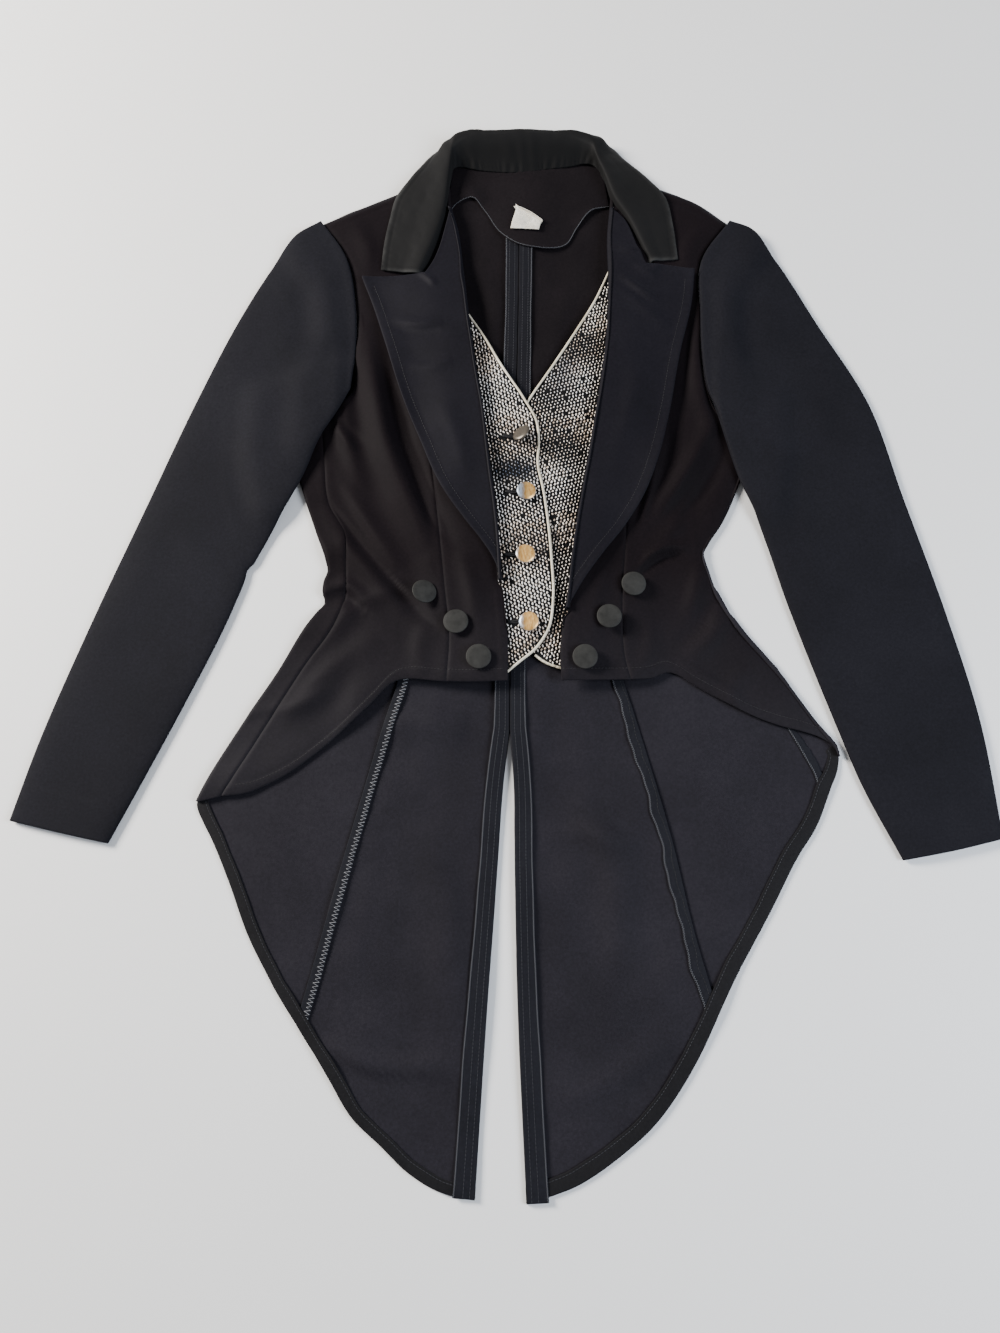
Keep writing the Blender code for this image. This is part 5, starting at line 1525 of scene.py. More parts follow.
@dataclass
class Waistcoat:
    """The sewn-in waistcoat front: knit panels with metallic yarn, piping, buttons and buttonholes."""

    edge_right: Table = listed([
        (-36, 287), (-19, 259), (-1, 224), (18, 192), (29.5, 168), (31, 145), (30, 128),
        (34.5, 103), (38.5, 73), (41.5, 34), (42.5, -4), (38, -31), (26, -50), (13, -61), (0, -72),
    ])
    inner_right: Table = listed([(-62, 287), (-54, 190), (-46, 90), (-40, 0), (-36, -68)])
    edge_left: Table = listed([(104, 340), (88, 303), (67, 265), (43, 225), (27, 200), (8, 168)])
    centre_left: Table = listed([(8, 168), (12, 110), (18, 40), (20, -20), (20, -50)])
    hem_left: Table = listed([(20, -51), (26, -55), (34.6, -61.2), (47, -66), (84, -72)])
    inner_left: Table = listed([(124, 336), (118, 260), (108, 160), (96, 60), (84, -72)])
    piping_radius: float = 1.2 * MM
    column_pitch: float = 3.0 * MM
    row_pitch: float = 3.4 * MM
    # The patch of each front where a blue reflection is painted into the yarn: its middle, half width, half
    # height and depth.
    cool_right: tuple[float, ...] = (8, 120, 24, 12, 1.5)
    cool_left: tuple[float, ...] = (54, 226, 15, 26, 0.8)
    buttons: list[tuple[str, float, float, float, float, float]] = listed([
        # name, x, y, tilt and the direction it tilts to in degrees, and how far its plating's silver reaches
        # from the left, rubbed and painted as reflection
        ("waistcoat_button_1", 16.5, 153, 41, 146, 1.3),
        ("waistcoat_button_2", 19, 98, 8, 20, -0.04),
        ("waistcoat_button_3", 18, 37, 5, 30, -0.3),
        ("waistcoat_button_4", 21, -26, 6, 200, -0.22),
    ])

    def build(self, pile: Pile, wardrobe: Wardrobe) -> None:
        """Lay the left front, its piping, then the right front over it with its piping."""
        room = self.piping_radius + SEAM_GAP
        down, across = crowded(150, 0.3, 0.5), crowded(26)
        outer = at_shares(joined(self.edge_left, self.centre_left), down)
        outer = outer + square_to(outer) * room
        hem = edge(self.hem_left, across)
        top = edge([self.edge_left[0], self.inner_left[0]], across)
        grid = coons(outer, edge(self.inner_left, down), top, hem + square_to(hem) * room)
        left = self.surface(grid, pile, Edge.FIRST)
        cords = {"l": self.edge_left[:-1] + [(16, 182)], "hem": self.hem_left[1:-1] + [(60, -69)]}
        left_pieces = [self.pipe(name, table, pile, wardrobe) for name, table in cords.items()]
        pile.lay(left)
        self.panel(Side.LEFT, left, left_pieces, wardrobe)

        edge_points = edge(self.edge_right, down)
        corner = edge([self.inner_right[0], self.edge_right[0]], across)
        foot = edge([self.inner_right[-1], self.edge_right[-1]], across)
        grid = coons(edge(self.inner_right, down), edge_points - square_to(edge_points) * room, corner, foot)
        right = self.surface(grid, pile, Edge.LAST)
        cord = self.pipe("r", self.edge_right, pile, wardrobe)
        pile.lay(right)
        self.panel(Side.RIGHT, right, [cord] + self.fasten(pile, wardrobe), wardrobe)

    def surface(self, plan: np.ndarray, pile: Pile, open_edge: Edge) -> np.ndarray:
        """A front's upper side: on the pile, rolled down at its open edge and pulled in at the buttons."""
        rest = pile.under(plan) + LAYER_AIR + WALL
        drop = -0.8 * MM * bell(edge_distance(raised(plan, 0.0), open_edge), 2.4 * MM)
        pull = np.zeros(plan.shape[:2])
        for _, x, y, *_ in self.buttons:
            away = (plan - np.array([x, y]) * MM) / MM
            pull += 0.5 * MM * np.exp(-((away[..., 1] / 7) ** 2) - (away[..., 0] / 26) ** 2)
        return raised(plan, rest + drop + pull + np.abs(ripple(plan, 0.5, 70, 1.7)))

    def pipe(self, name: str, table: Table, pile: Pile, wardrobe: Wardrobe) -> bpy.types.Object:
        """Round piping along an edge, at the height of the cloth beside it."""
        line = edge(table, np.linspace(0, 1, 170))
        height = pile.under(line) + LAYER_AIR + self.piping_radius - 0.3 * MM
        path = raised(line, height + 0.15 * MM * np.sin(np.arange(170) * 0.31))
        pile.lay(np.stack([path + [0, y, self.piping_radius] for y in (0, 0.5 * MM)], axis=1))
        made = cord_mesh("waistcoat_cord_" + name, path, self.piping_radius, 10)
        return dress(made, wardrobe.piping, "piping", "waistcoat_piping_" + name)

    def panel(
        self, side: Side, surface: np.ndarray, pieces: list[bpy.types.Object], wardrobe: Wardrobe
    ) -> None:
        """The knit ground of one front with its yarn."""
        made = cloth("waistcoat_ground_" + side.value, surface, WALL)
        dress(made, wardrobe.knit[side], "knit", "waistcoat_" + side.value)
        yarn = self.yarn(side, surface, wardrobe)
        declare(made, surface)

    def yarn(self, side: Side, surface: np.ndarray, wardrobe: Wardrobe) -> bpy.types.Object:
        """The yarn's loops: beads on slanted columns, every other column half a row lower.

        A lattice of points in the knit's own directions covers the panel. Those over the panel stay,
        and each takes its height from the nearest point of the surface. A bead leans to one side on
        even rows and to the other on odd rows, and its size and tone wander.
        """
        right = side is Side.RIGHT
        lean = 0.13 if right else -0.2
        down = np.array([math.sin(lean), -math.cos(lean)])
        over = np.array([math.cos(lean), math.sin(lean)])
        shown = surface[:, 4:-1] if right else surface[:, 1:-4]
        outline = np.concatenate([shown[:, 0], shown[-1], shown[::-1, -1], shown[0, ::-1]])[:, :2]
        middle = outline.mean(axis=0)
        i, j = np.meshgrid(np.arange(-75, 76), np.arange(-30, 31), indexing="ij")
        half = np.where(j % 2 == 0, 0.0, 0.5)
        wander = 0.35 * np.sin(i * 0.13 + j * 0.4) + 0.25 * np.sin(i * 1.9 + j * 2.7)
        xy = middle + (i + half + wander * 0.2)[..., None] * self.row_pitch * down
        xy = (xy + (j + 0.16 * np.sin(i * 2.3 + j))[..., None] * self.column_pitch * over).reshape(-1, 2)
        i, j = i.reshape(-1), j.reshape(-1)
        raster = Pile(cell=1.0 * MM, half_x=0.15, half_y=0.36)
        inside = raster.read(raster.mask(outline).astype(float), xy) > 0.99
        if right:
            for _, x, y, *_ in self.buttons:
                away = (xy - np.array([x - 12.5, y + 0.2]) * MM) / (np.array([8.5, 2.6]) * MM)
                inside &= (away**2).sum(axis=1) > 1
            inside &= xy[:, 0] > -0.052
        else:
            over_it = edge(self.edge_right, np.linspace(0, 1, 80))[::-1]
            inside &= xy[:, 0] > np.interp(xy[:, 1], over_it[:, 1], over_it[:, 0]) - 2 * MM
        xy, i, j = xy[inside], i[inside], j[inside]
        flat = surface.reshape(-1, 3)
        nearest = np.concatenate([
            ((part[:, None] - flat[None, :, :2]) ** 2).sum(-1).argmin(axis=1)
            for part in np.array_split(xy, 24)
        ])
        centres = np.column_stack([xy, flat[nearest, 2] + 0.1 * MM])
        uneven = np.sin(i * 12.9 + j * 78.2) * 43.7
        chance = uneven - np.floor(uneven)
        tilt = np.where((i + j) % 2 == 0, 0.34, -0.30) + (chance - 0.5) * 0.5
        shown = chance > (0.01 if right else 0.03)
        xy, i, j, chance, tilt, centres = (part[shown] for part in (xy, i, j, chance, tilt, centres))
        along = np.cos(tilt)[:, None] * down + np.sin(tilt)[:, None] * over
        level = np.stack([-along[:, 1], along[:, 0]], axis=1)
        band = 0.16 * np.sin(xy[:, 0] * 90 + xy[:, 1] * 40) + 0.14 * np.sin(xy[:, 1] * 120)
        # Painted reflection: a patch where the yarn turns dark blue, its beads also a little smaller.
        x, y, wide, high, depth = self.cool_right if right else self.cool_left
        away = (xy / MM - np.array([x, y])) / np.array([wide, high])
        painted_reflection = np.clip(depth * np.exp(-(away**2).sum(axis=1)) * (0.5 + 0.5 * chance), 0, 1)
        size = ((1.0 if right else 0.86) + band * (0.4 if right else 0.9)) * (1 - 0.25 * painted_reflection)
        long = ((1.22 + 0.4 * chance) * size)[:, None] * MM
        thick = ((0.72 + 0.22 * (1 - chance)) * size)[:, None] * MM
        upward = np.tile([0, 0, 0.9], (len(xy), 1)) * thick
        axes = np.stack([raised(along, 0.0) * long, raised(level, 0.0) * thick, upward], axis=1)
        made = spindles("waistcoat_yarn_" + side.value, centres, axes)
        tone = 0.5 + 0.28 * np.sin(i * 0.21 + 1.2 * np.sin(j * 0.17)) + 0.55 * (chance - 0.5)
        for name, values in (("tone", np.clip(tone, 0, 1)), ("painted_reflection", painted_reflection)):
            add_values(made, name, np.repeat(values, len(made.data.vertices) // len(xy)))
        return dress(made, wardrobe.yarn, "knit")

    def fasten(self, pile: Pile, wardrobe: Wardrobe) -> list[bpy.types.Object]:
        """The domed metal buttons, and the two lips of the buttonhole that shows beside each."""
        profile = [
            (0, 4.6), (3.0, 4.55), (5.4, 4.42), (7.1, 4.15), (7.8, 3.85), (8.1, 3.6), (8.5, 3.5),
            (8.8, 3.0), (8.75, 2.4), (8.2, 1.9), (6.0, 1.5), (3.0, 1.2), (2.2, 0.6), (2.0, 0.0), (0, 0),
        ]
        lips = []
        for name, x, y, tilt, toward, rubbed in self.buttons:
            centre = np.array([x, y]) * MM
            rest = pile.read(pile.height, centre + ring_plan(8 * MM)).max() + 0.3 * MM
            made = turned_button(name + "_dome", profile, centre, rest, tilt, toward, rubbed)
            dress(made, wardrobe.metal, "metal_button", name)
            slit = np.array([[x - 18.5, y + 0.9], [x - 12, y + 0.2], [x - 6, y - 0.2]]) * MM
            for k, lift in ((0, 0.9), (1, -0.9)):
                line = at_shares(smooth(slit), np.linspace(0, 1, 16))
                line[:, 1] += lift * MM * np.sin(np.pi * np.linspace(0.08, 0.92, 16))
                path = raised(line, pile.read(pile.height, line) + 0.5 * MM)
                lips.append(dress(cord_mesh(f"{name}_hole_{k}", path, 0.8 * MM, 7), wardrobe.thread, "knit"))
        return lips


def ring_plan(radius: float) -> np.ndarray:
    """Points of a circle in plan, round the origin, and of two smaller ones inside it."""
    turn = np.linspace(0, 2 * math.pi, 16, endpoint=False)
    circle = np.column_stack([np.cos(turn), np.sin(turn)])
    return np.concatenate([circle * radius * share for share in (0.35, 0.7, 1.0)])


def turned_button(
    name: str, profile: Table, centre: np.ndarray, rest: float, tilt: float, toward: float,
    rubbed: float = 0.0, sides: int = 48,
) -> bpy.types.Object:
    """A turned button: a profile of radius and height carried round its axis, then tilted.

    Each corner of the profile is smoothed, the first and last points close it on the axis, and the
    radius is kept at each point for the finish.

    Args:
        name: The piece's name.
        profile: Radius and height in millimetres, from the top's middle to the bottom's.
        centre: Its place in plan.
        rest: The height of the cloth that it sits in a little.
        tilt: How far it leans, in degrees.
        toward: The direction of its lower side, in degrees.
        rubbed: How far silver reaches in from its left side, as rubbed plating and painted reflection; above
            1 it is dull all over.
        sides: Points round it.

    Returns:
        The object.
    """
    line = at_shares(smooth(np.array(profile, float) * MM), crowded(40, 0.0, 0.0))
    turn = np.linspace(0, 2 * math.pi, sides, endpoint=False)
    body = line[1:-1]
    points = np.stack([
        body[:, :1] * np.cos(turn), body[:, :1] * np.sin(turn), np.repeat(body[:, 1:], sides, axis=1),
    ], axis=-1)
    rows = len(body)
    faces = tube_quads(rows, sides).tolist()
    top, bottom = rows * sides, rows * sides + 1
    for s in range(sides):
        m = (s + 1) % sides
        faces.append([top, s, m])
        faces.append([bottom, (rows - 1) * sides + m, (rows - 1) * sides + s])
    flat = np.concatenate([points.reshape(-1, 3), [[0, 0, line[0, 1]], [0, 0, line[-1, 1]]]])
    radius = np.linalg.norm(flat[:, :2], axis=1)
    lean, way = math.radians(tilt), math.radians(toward)
    axis = np.array([-math.sin(way), math.cos(way), 0.0])
    flat = (
        flat * math.cos(lean) + np.cross(axis, flat) * math.sin(lean)
        + axis * (flat @ axis)[:, None] * (1 - math.cos(lean))
    )
    flat[:, 2] += rest - flat[:, 2].min() * 0.85
    flat[:, :2] += centre
    made = new_mesh(name, flat, faces)
    add_values(made, "radius", radius)
    # Painted reflection: silver grows toward the button's left side, shifted by the rubbed offset.
    add_values(made, "bare_and_reflection", 0.5 - 0.5 * (flat[:, 0] - centre[0]) / radius.max() + rubbed)
    return made


@dataclass
class Fronts:
    """The two fronts with their side panels, wrapped at the sides, sewn at the princess seams."""

    rows_arm: int = 62
    rows_side: int = 112
    columns: int = 40
    side_columns: int = 48
    nose: float = 3.8 * MM
    shoulder_height: float = 2.2 * MM
    creases_right: list[Crease] = listed([
        # points, width to the left of its course, width to the right, height
        Crease([(-166, 97), (-128, 48), (-99, 13), (-81, -8), (-55, -36)], 2.4, 9, -1.6),
        Crease([(-170, 88), (-134, 40), (-104, 4), (-84, -18)], 7, 9, 2.0),
        Crease([(-150, 112), (-122, 66), (-92, 22)], 9, 5, 1.7),
        Crease([(-134, 268), (-122, 206), (-108, 144), (-90, 88), (-68, 36)], 9, 15, 4.2),
        Crease([(-112, 236), (-98, 172), (-83, 122), (-64, 76), (-44, 44)], 8, 7, -2.2),
        Crease([(-100, 150), (-88, 112), (-70, 60)], 4, 8, 1.8),
        Crease([(-154, 250), (-150, 190), (-140, 132), (-128, 96)], 7, 9, 1.7),
        Crease([(-160, 186), (-152, 160), (-140, 140)], 4, 7, 1.6),
        Crease([(-166, 172), (-148, 166), (-132, 150)], 3, 5, -0.9),
        Crease([(-147, 8), (-136, -4), (-122, -14)], 3.5, 6, -1.8),
        Crease([(-150, 16), (-138, 8), (-124, 0)], 5, 4, 1.6),
        Crease([(-96, 4), (-134, -10), (-156, -42)], 9, 7, 1.3),
        Crease([(-110, -34), (-150, -66), (-196, -118)], 14, 10, 1.5),
        Crease([(-70, -20), (-76, -48), (-72, -76)], 9, 7, 1.0),
        Crease([(-40, 44), (-30, 4), (-24, -34)], 9, 7, 1.0),
        Crease([(-204, -104), (-180, -100), (-150, -84)], 6, 8, 0.9),
        Crease([(-150, 392), (-134, 360), (-132, 330)], 8, 10, 1.0),
    ])
    creases_left: list[Crease] = listed([
        Crease([(196, 176), (166, 118), (136, 74)], 7, 10, 3.4),
        Crease([(206, 150), (182, 104), (154, 64)], 8, 5, -1.6),
        Crease([(148, 160), (134, 108), (122, 70)], 4, 6, 2.6),
        Crease([(138, 126), (127, 96), (117, 66)], 5, 4, -1.4),
        Crease([(164, 40), (147, 38), (136, 32), (124, 19), (114, 2)], 2.0, 5, -2.4),
        Crease([(168, 49), (148, 46), (134, 40), (120, 26)], 6, 3, 2.2),
        Crease([(176, 92), (144, 54), (124, 34)], 8, 9, 1.4),
        Crease([(186, -2), (173, -27), (152, -46)], 4, 7, -1.5),
        Crease([(196, -14), (182, -38), (158, -60)], 7, 8, 1.7),
        Crease([(176, 30), (168, 2), (160, -20)], 8, 6, 1.5),
        Crease([(192, 310), (184, 250), (186, 196), (196, 140)], 6, 9, 2.0),
        Crease([(182, 306), (168, 240), (158, 180), (142, 120)], 9, 7, -1.8),
        Crease([(212, -60), (196, -92), (214, -118)], 9, 8, 1.0),
        Crease([(128, -20), (126, -48), (116, -72)], 8, 6, 0.9),
        Crease([(88, 28), (80, -10), (78, -46)], 9, 8, 1.1),
        Crease([(150, -58), (176, -76), (210, -98)], 5, 9, 0.9),
        Crease([(196, 388), (178, 356), (180, 330)], 10, 8, 1.0),
    ])

    def rows(self, *tables: Table) -> np.ndarray:
        """An edge over tables that meet at corners, its rows divided at the underarm's level."""
        curve = joined(*tables)
        above = int((curve[:, 1] > UNDERARM_LEVEL).sum())
        return chain(
            at_shares(curve[: above + 1], crowded(self.rows_arm, 0.6, 0.0)),
            at_shares(curve[above:], crowded(self.rows_side, 0.0, 0.6)),
        )

    def build(self, pile: Pile, wardrobe: Wardrobe) -> "Drape":
        """Lay the fronts over all that is below, with their creases and seams.

        Returns:
            The fronts' level, which the lapels hang from.
        """
        drape = Drape(pile, pile.softened(pile.height, pile.reach), self.creases_right + self.creases_left)
        tops = [self.centre_front(side, drape, wardrobe) for side in Side]
        tops.append(self.side_front_right(drape, wardrobe))
        tops.append(self.side_front_left(drape, wardrobe))
        tops.append(self.side_back_right(drape, wardrobe))
        for top in tops:
            pile.lay(top)
        return drape

    def shoulder(self, points: np.ndarray) -> np.ndarray:
        """Shoulder roll: the front's height falls to the back's along its upper edge as a quarter round."""
        far = edge_distance(points, Edge.TOP)
        share = np.sqrt(1 - (1 - np.clip(far / (7 * MM), 0, 1)) ** 2)
        points = points.copy()
        points[..., 2] = self.shoulder_height + (points[..., 2] - self.shoulder_height) * share
        seam = -0.5 * MM * bell(far - 11 * MM, 0.9 * MM) + 0.25 * MM * bell(far - 7.5 * MM, 2.2 * MM)
        points[..., 2] += seam
        return points

    def centre_front(self, side: Side, drape: "Drape", wardrobe: Wardrobe) -> np.ndarray:
        """One centre front. Above the lapel's lower end its edge stays inside the lapel's roll."""
        p = PATTERNS[side]
        right = side is Side.RIGHT
        inner = self.rows(p.neck_edge, p.fold_line, p.front_edge)
        outer = self.rows(p.front_princess)
        across = unit(outer - inner)
        covered = np.clip((inner[:, 1] - p.fold_line[-1][1] * MM) / (6 * MM) + 1.5, 0, 1)
        inner = inner + across * (step_up(covered) * self.nose)[:, None]
        share = crowded(self.columns)
        ends = edge(p.neck_front, share), edge(p.hem_front, share)
        plan = inset(coons(outer, inner, *ends) if right else coons(inner, outer, *ends))
        seam, opening = (Edge.FIRST, Edge.LAST) if right else (Edge.LAST, Edge.FIRST)
        points = raised(plan, drape.top(plan, 0.0 if right else 1.0))
        free = 1 - step_up(covered)[:, None]
        relief = pressed_seam(edge_distance(points, seam))
        relief += turned_hem(edge_distance(points, Edge.BOTTOM), HEM_WIDTH)
        relief += turned_hem(edge_distance(points, opening), 7 * MM) * free
        points[..., 2] += relief
        points = self.shoulder(points)
        name = "front_panel_" + side.value
        made = cloth(name, points, WALL)
        dress(made, wardrobe.face, "wool", "front_" + side.value, inner=wardrobe.inside)
        stitches = self.hem_stitches(name + "_hem_stitches", points, 0.01, 0.93 if right else 1.0, wardrobe)
        declare(made, points)
        return points

    def hem_stitches(
        self, name: str, points: np.ndarray, start: float, end: float, wardrobe: Wardrobe
    ) -> list[bpy.types.Object]:
        """The stitch row that holds a front's turned hem, from one share of the hem to another."""
        line = surface_path(points, Edge.BOTTOM, HEM_WIDTH, start, end)
        return [dress(stitch_row(name, line), wardrobe.thread, "wool")]

    def side_front_right(self, drape: "Drape", wardrobe: Wardrobe) -> np.ndarray:
        """The right side front, which ends at the side seam on the coat's upper side."""
        p = RIGHT
        arm = edge(p.armhole_front, crowded(self.rows_arm, 0.6, 0.2))
        outer = chain(arm, edge(p.side_seam, crowded(self.rows_side, 0.2, 0.6)))
        share = crowded(self.side_columns)
        ends = edge(p.shoulder_front, share), edge(p.hem_side, share)
        plan = inset(coons(outer, self.rows(p.front_princess), *ends))
        points = raised(plan, drape.top(plan, 0.0))
        relief = sum(pressed_seam(edge_distance(points, e)) for e in (Edge.LAST, Edge.FIRST))
        relief += turned_hem(edge_distance(points, Edge.BOTTOM), HEM_WIDTH)
        points[..., 2] += relief
        points = self.shoulder(points)
        made = cloth("side_front_panel_r", points, WALL)
        dress(made, wardrobe.face, "wool", "side_front_r", inner=wardrobe.inside)
        stitches = self.hem_stitches("side_hem_stitches_r", points, 0.03, 1.0, wardrobe)
        declare(made, points)
        return points

    def side_front_left(self, drape: "Drape", wardrobe: Wardrobe) -> np.ndarray:
        """The left side front: over the body, round the side fold and under to the side seam."""
        p = LEFT
        down = crowded(self.rows_side, 0.2, 0.6)
        fold, seam = edge(p.side_fold, down), edge(p.side_seam, down)
        seam = seam + unit(fold - seam) * SEAM_GAP / 2
        top_z = np.maximum(drape.top(fold, 1.0), 4.2 * MM)
        arc, centre = wrapped_side(fold, seam, top_z, np.full(len(fold), CONTACT), 1)
        outer = chain(edge(p.armhole_front, crowded(self.rows_arm, 0.6, 0.2)), centre)
        outer[self.rows_arm - 1] = centre[0]
        share = crowded(self.side_columns, 0.8, 0.3)
        ends = edge(p.shoulder_front, share), edge(p.hem_side, share)
        plan = inset(coons(self.rows(p.front_princess), outer, *ends), last=0)
        points = raised(plan, drape.top(plan, 1.0))
        relief = pressed_seam(edge_distance(points, Edge.FIRST))
        relief += turned_hem(edge_distance(points, Edge.BOTTOM), HEM_WIDTH)
        far = edge_distance(points, Edge.LAST)
        near_fold = bell(far, 10 * MM)
        near_fold[: self.rows_arm] *= np.linspace(0, 1, self.rows_arm)[:, None] ** 6
        points[..., 2] += relief * (1 - near_fold)
        edge_z = np.concatenate([points[: self.rows_arm - 1, -1, 2], top_z])
        points[..., 2] += (edge_z - points[:, -1, 2])[:, None] * near_fold
        points = self.shoulder(points)
        armhole = edge_distance(points, Edge.LAST)[: self.rows_arm]
        fading = np.linspace(1, 0, self.rows_arm)[:, None] ** 0.5
        points[: self.rows_arm, :, 2] += pressed_seam(armhole) * fading
        beyond = points[: self.rows_arm - 1, -1:] + (arc[0] - points[self.rows_arm - 1, -1])
        body = np.concatenate([points, np.concatenate([beyond, arc])], axis=1)
        keep = np.ones((len(body) - 1, body.shape[1] - 1), bool)
        keep[: self.rows_arm - 1, points.shape[1] - 1 :] = False
        made = cloth("side_front_panel_l", body, WALL, (120, 20, 1.0), keep=keep)
        dress(made, wardrobe.face, "wool", "side_front_l", inner=wardrobe.inside)
        stitches = self.hem_stitches("side_hem_stitches_l", points, 0.0, 0.98, wardrobe)
        declare(made, body, keep=keep)
        return points

    def side_back_right(self, drape: "Drape", wardrobe: Wardrobe) -> np.ndarray:
        """The right side back: under the body, round the side fold and on to the front's side seam."""
        p = RIGHT
        tail_rows, leg_columns = 60, 14
        down = crowded(self.rows_side, 0.2, 0.3)
        fold, seam = edge(p.side_fold, down), edge(p.side_seam, down)
        seam = seam + unit(fold - seam) * SEAM_GAP / 2
        top_z = np.maximum(drape.top(seam, 0.0), 4.2 * MM)
        arc, centre = wrapped_side(fold, seam, np.full(len(fold), CONTACT), top_z, -1, leg_columns)
        leg = arc[:, -leg_columns:]
        leg[..., 2] += pressed_seam(edge_distance(leg, Edge.LAST))
        growing = step_up(edge_distance(leg, Edge.FIRST) / (12 * MM))
        leg[..., 2] += creased(leg[..., :2], self.creases_right) * growing * 0.6
        outer = chain(centre, edge(p.tail_edge, crowded(tail_rows, 0, 0.5)))
        princess = edge(p.back_princess, crowded(self.rows_side + tail_rows - 1, 0.3, 0.5))
        share = crowded(26)
        ends = edge(p.underarm_back[::-1], share), edge(p.tail_corner, share)
        plan = inset(coons(outer, princess, *ends), first=0)
        under = raised(plan, CONTACT)[:, ::-1]
        tail = np.arange(len(plan)) >= self.rows_side - 1
        wave = np.abs(ripple(plan, 0.35, 90, 0.4))[:, ::-1] * tail[:, None]
        under[..., 2] += wave * step_up((np.arange(len(plan)) - self.rows_side) / 12)[:, None]
        beyond = under[self.rows_side :, -1:] + (arc[-1] - under[self.rows_side - 1, -1])
        body = np.concatenate([under, np.concatenate([arc, beyond])], axis=1)
        keep = np.ones((len(body) - 1, body.shape[1] - 1), bool)
        keep[self.rows_side - 1 :, under.shape[1] - 1 :] = False
        made = cloth("side_back_panel_r", body, WALL, (60, 10, -1.0), keep=keep)
        dress(made, wardrobe.face, "wool", "side_back_r", inner=wardrobe.inside)
        declare(made, body, keep=keep)
        return arc


@dataclass
class Drape:
    """The level of the fronts over all that lies below them."""

    pile: Pile
    below: np.ndarray
    creases: list[Crease]
    room: np.ndarray = field(init=False)

    def __post_init__(self) -> None:
        """Room under the fronts: full in the middle of each front and little along its outline."""
        spread = Pile()
        for side in Side:
            p = PATTERNS[side]
            back_up = (table[::-1] for table in (p.hem_front, p.hem_side, p.side_fold, p.armhole_front))
            round_it = (p.fold_line, p.front_edge, *back_up, p.shoulder_front, p.neck_front)
            outline = chain(*(smooth(np.array(table) * MM) for table in round_it))
            spread.height = np.maximum(spread.height, spread.mask(outline).astype(float))
        self.room = spread.softened(spread.height, 0.0)

    def air(self, xy: np.ndarray) -> np.ndarray:
        """The share of the full room under the fronts at these points."""
        return np.clip(self.pile.read(self.room, xy) * 1.6 - 0.7, 0, 1)

    def low(self, xy: np.ndarray) -> np.ndarray:
        """The underside of the fronts: over what lies below, with the ridges but not the troughs."""
        ridges = creased(xy, [c for c in self.creases if c.height > 0])
        return self.pile.read(self.below, xy) + LAYER_AIR + ridges * 0.9 + 1.2 * MM * self.air(xy)

    def top(self, xy: np.ndarray, turn: float) -> np.ndarray:
        """The upper side of the fronts: creases and an uneven lie, never under what lies below."""
        rest = self.pile.read(self.below, xy)
        lie = 2.3 * creased(xy, self.creases) + ripple(xy, 0.5, 95, turn + 0.4) + ripple(xy, 0.9, 230, 1.1)
        lie = np.maximum(lie + 0.4 * MM + 2.2 * MM * self.air(xy), CONTACT)
        return rest + LAYER_AIR * 0.5 + WALL + lie


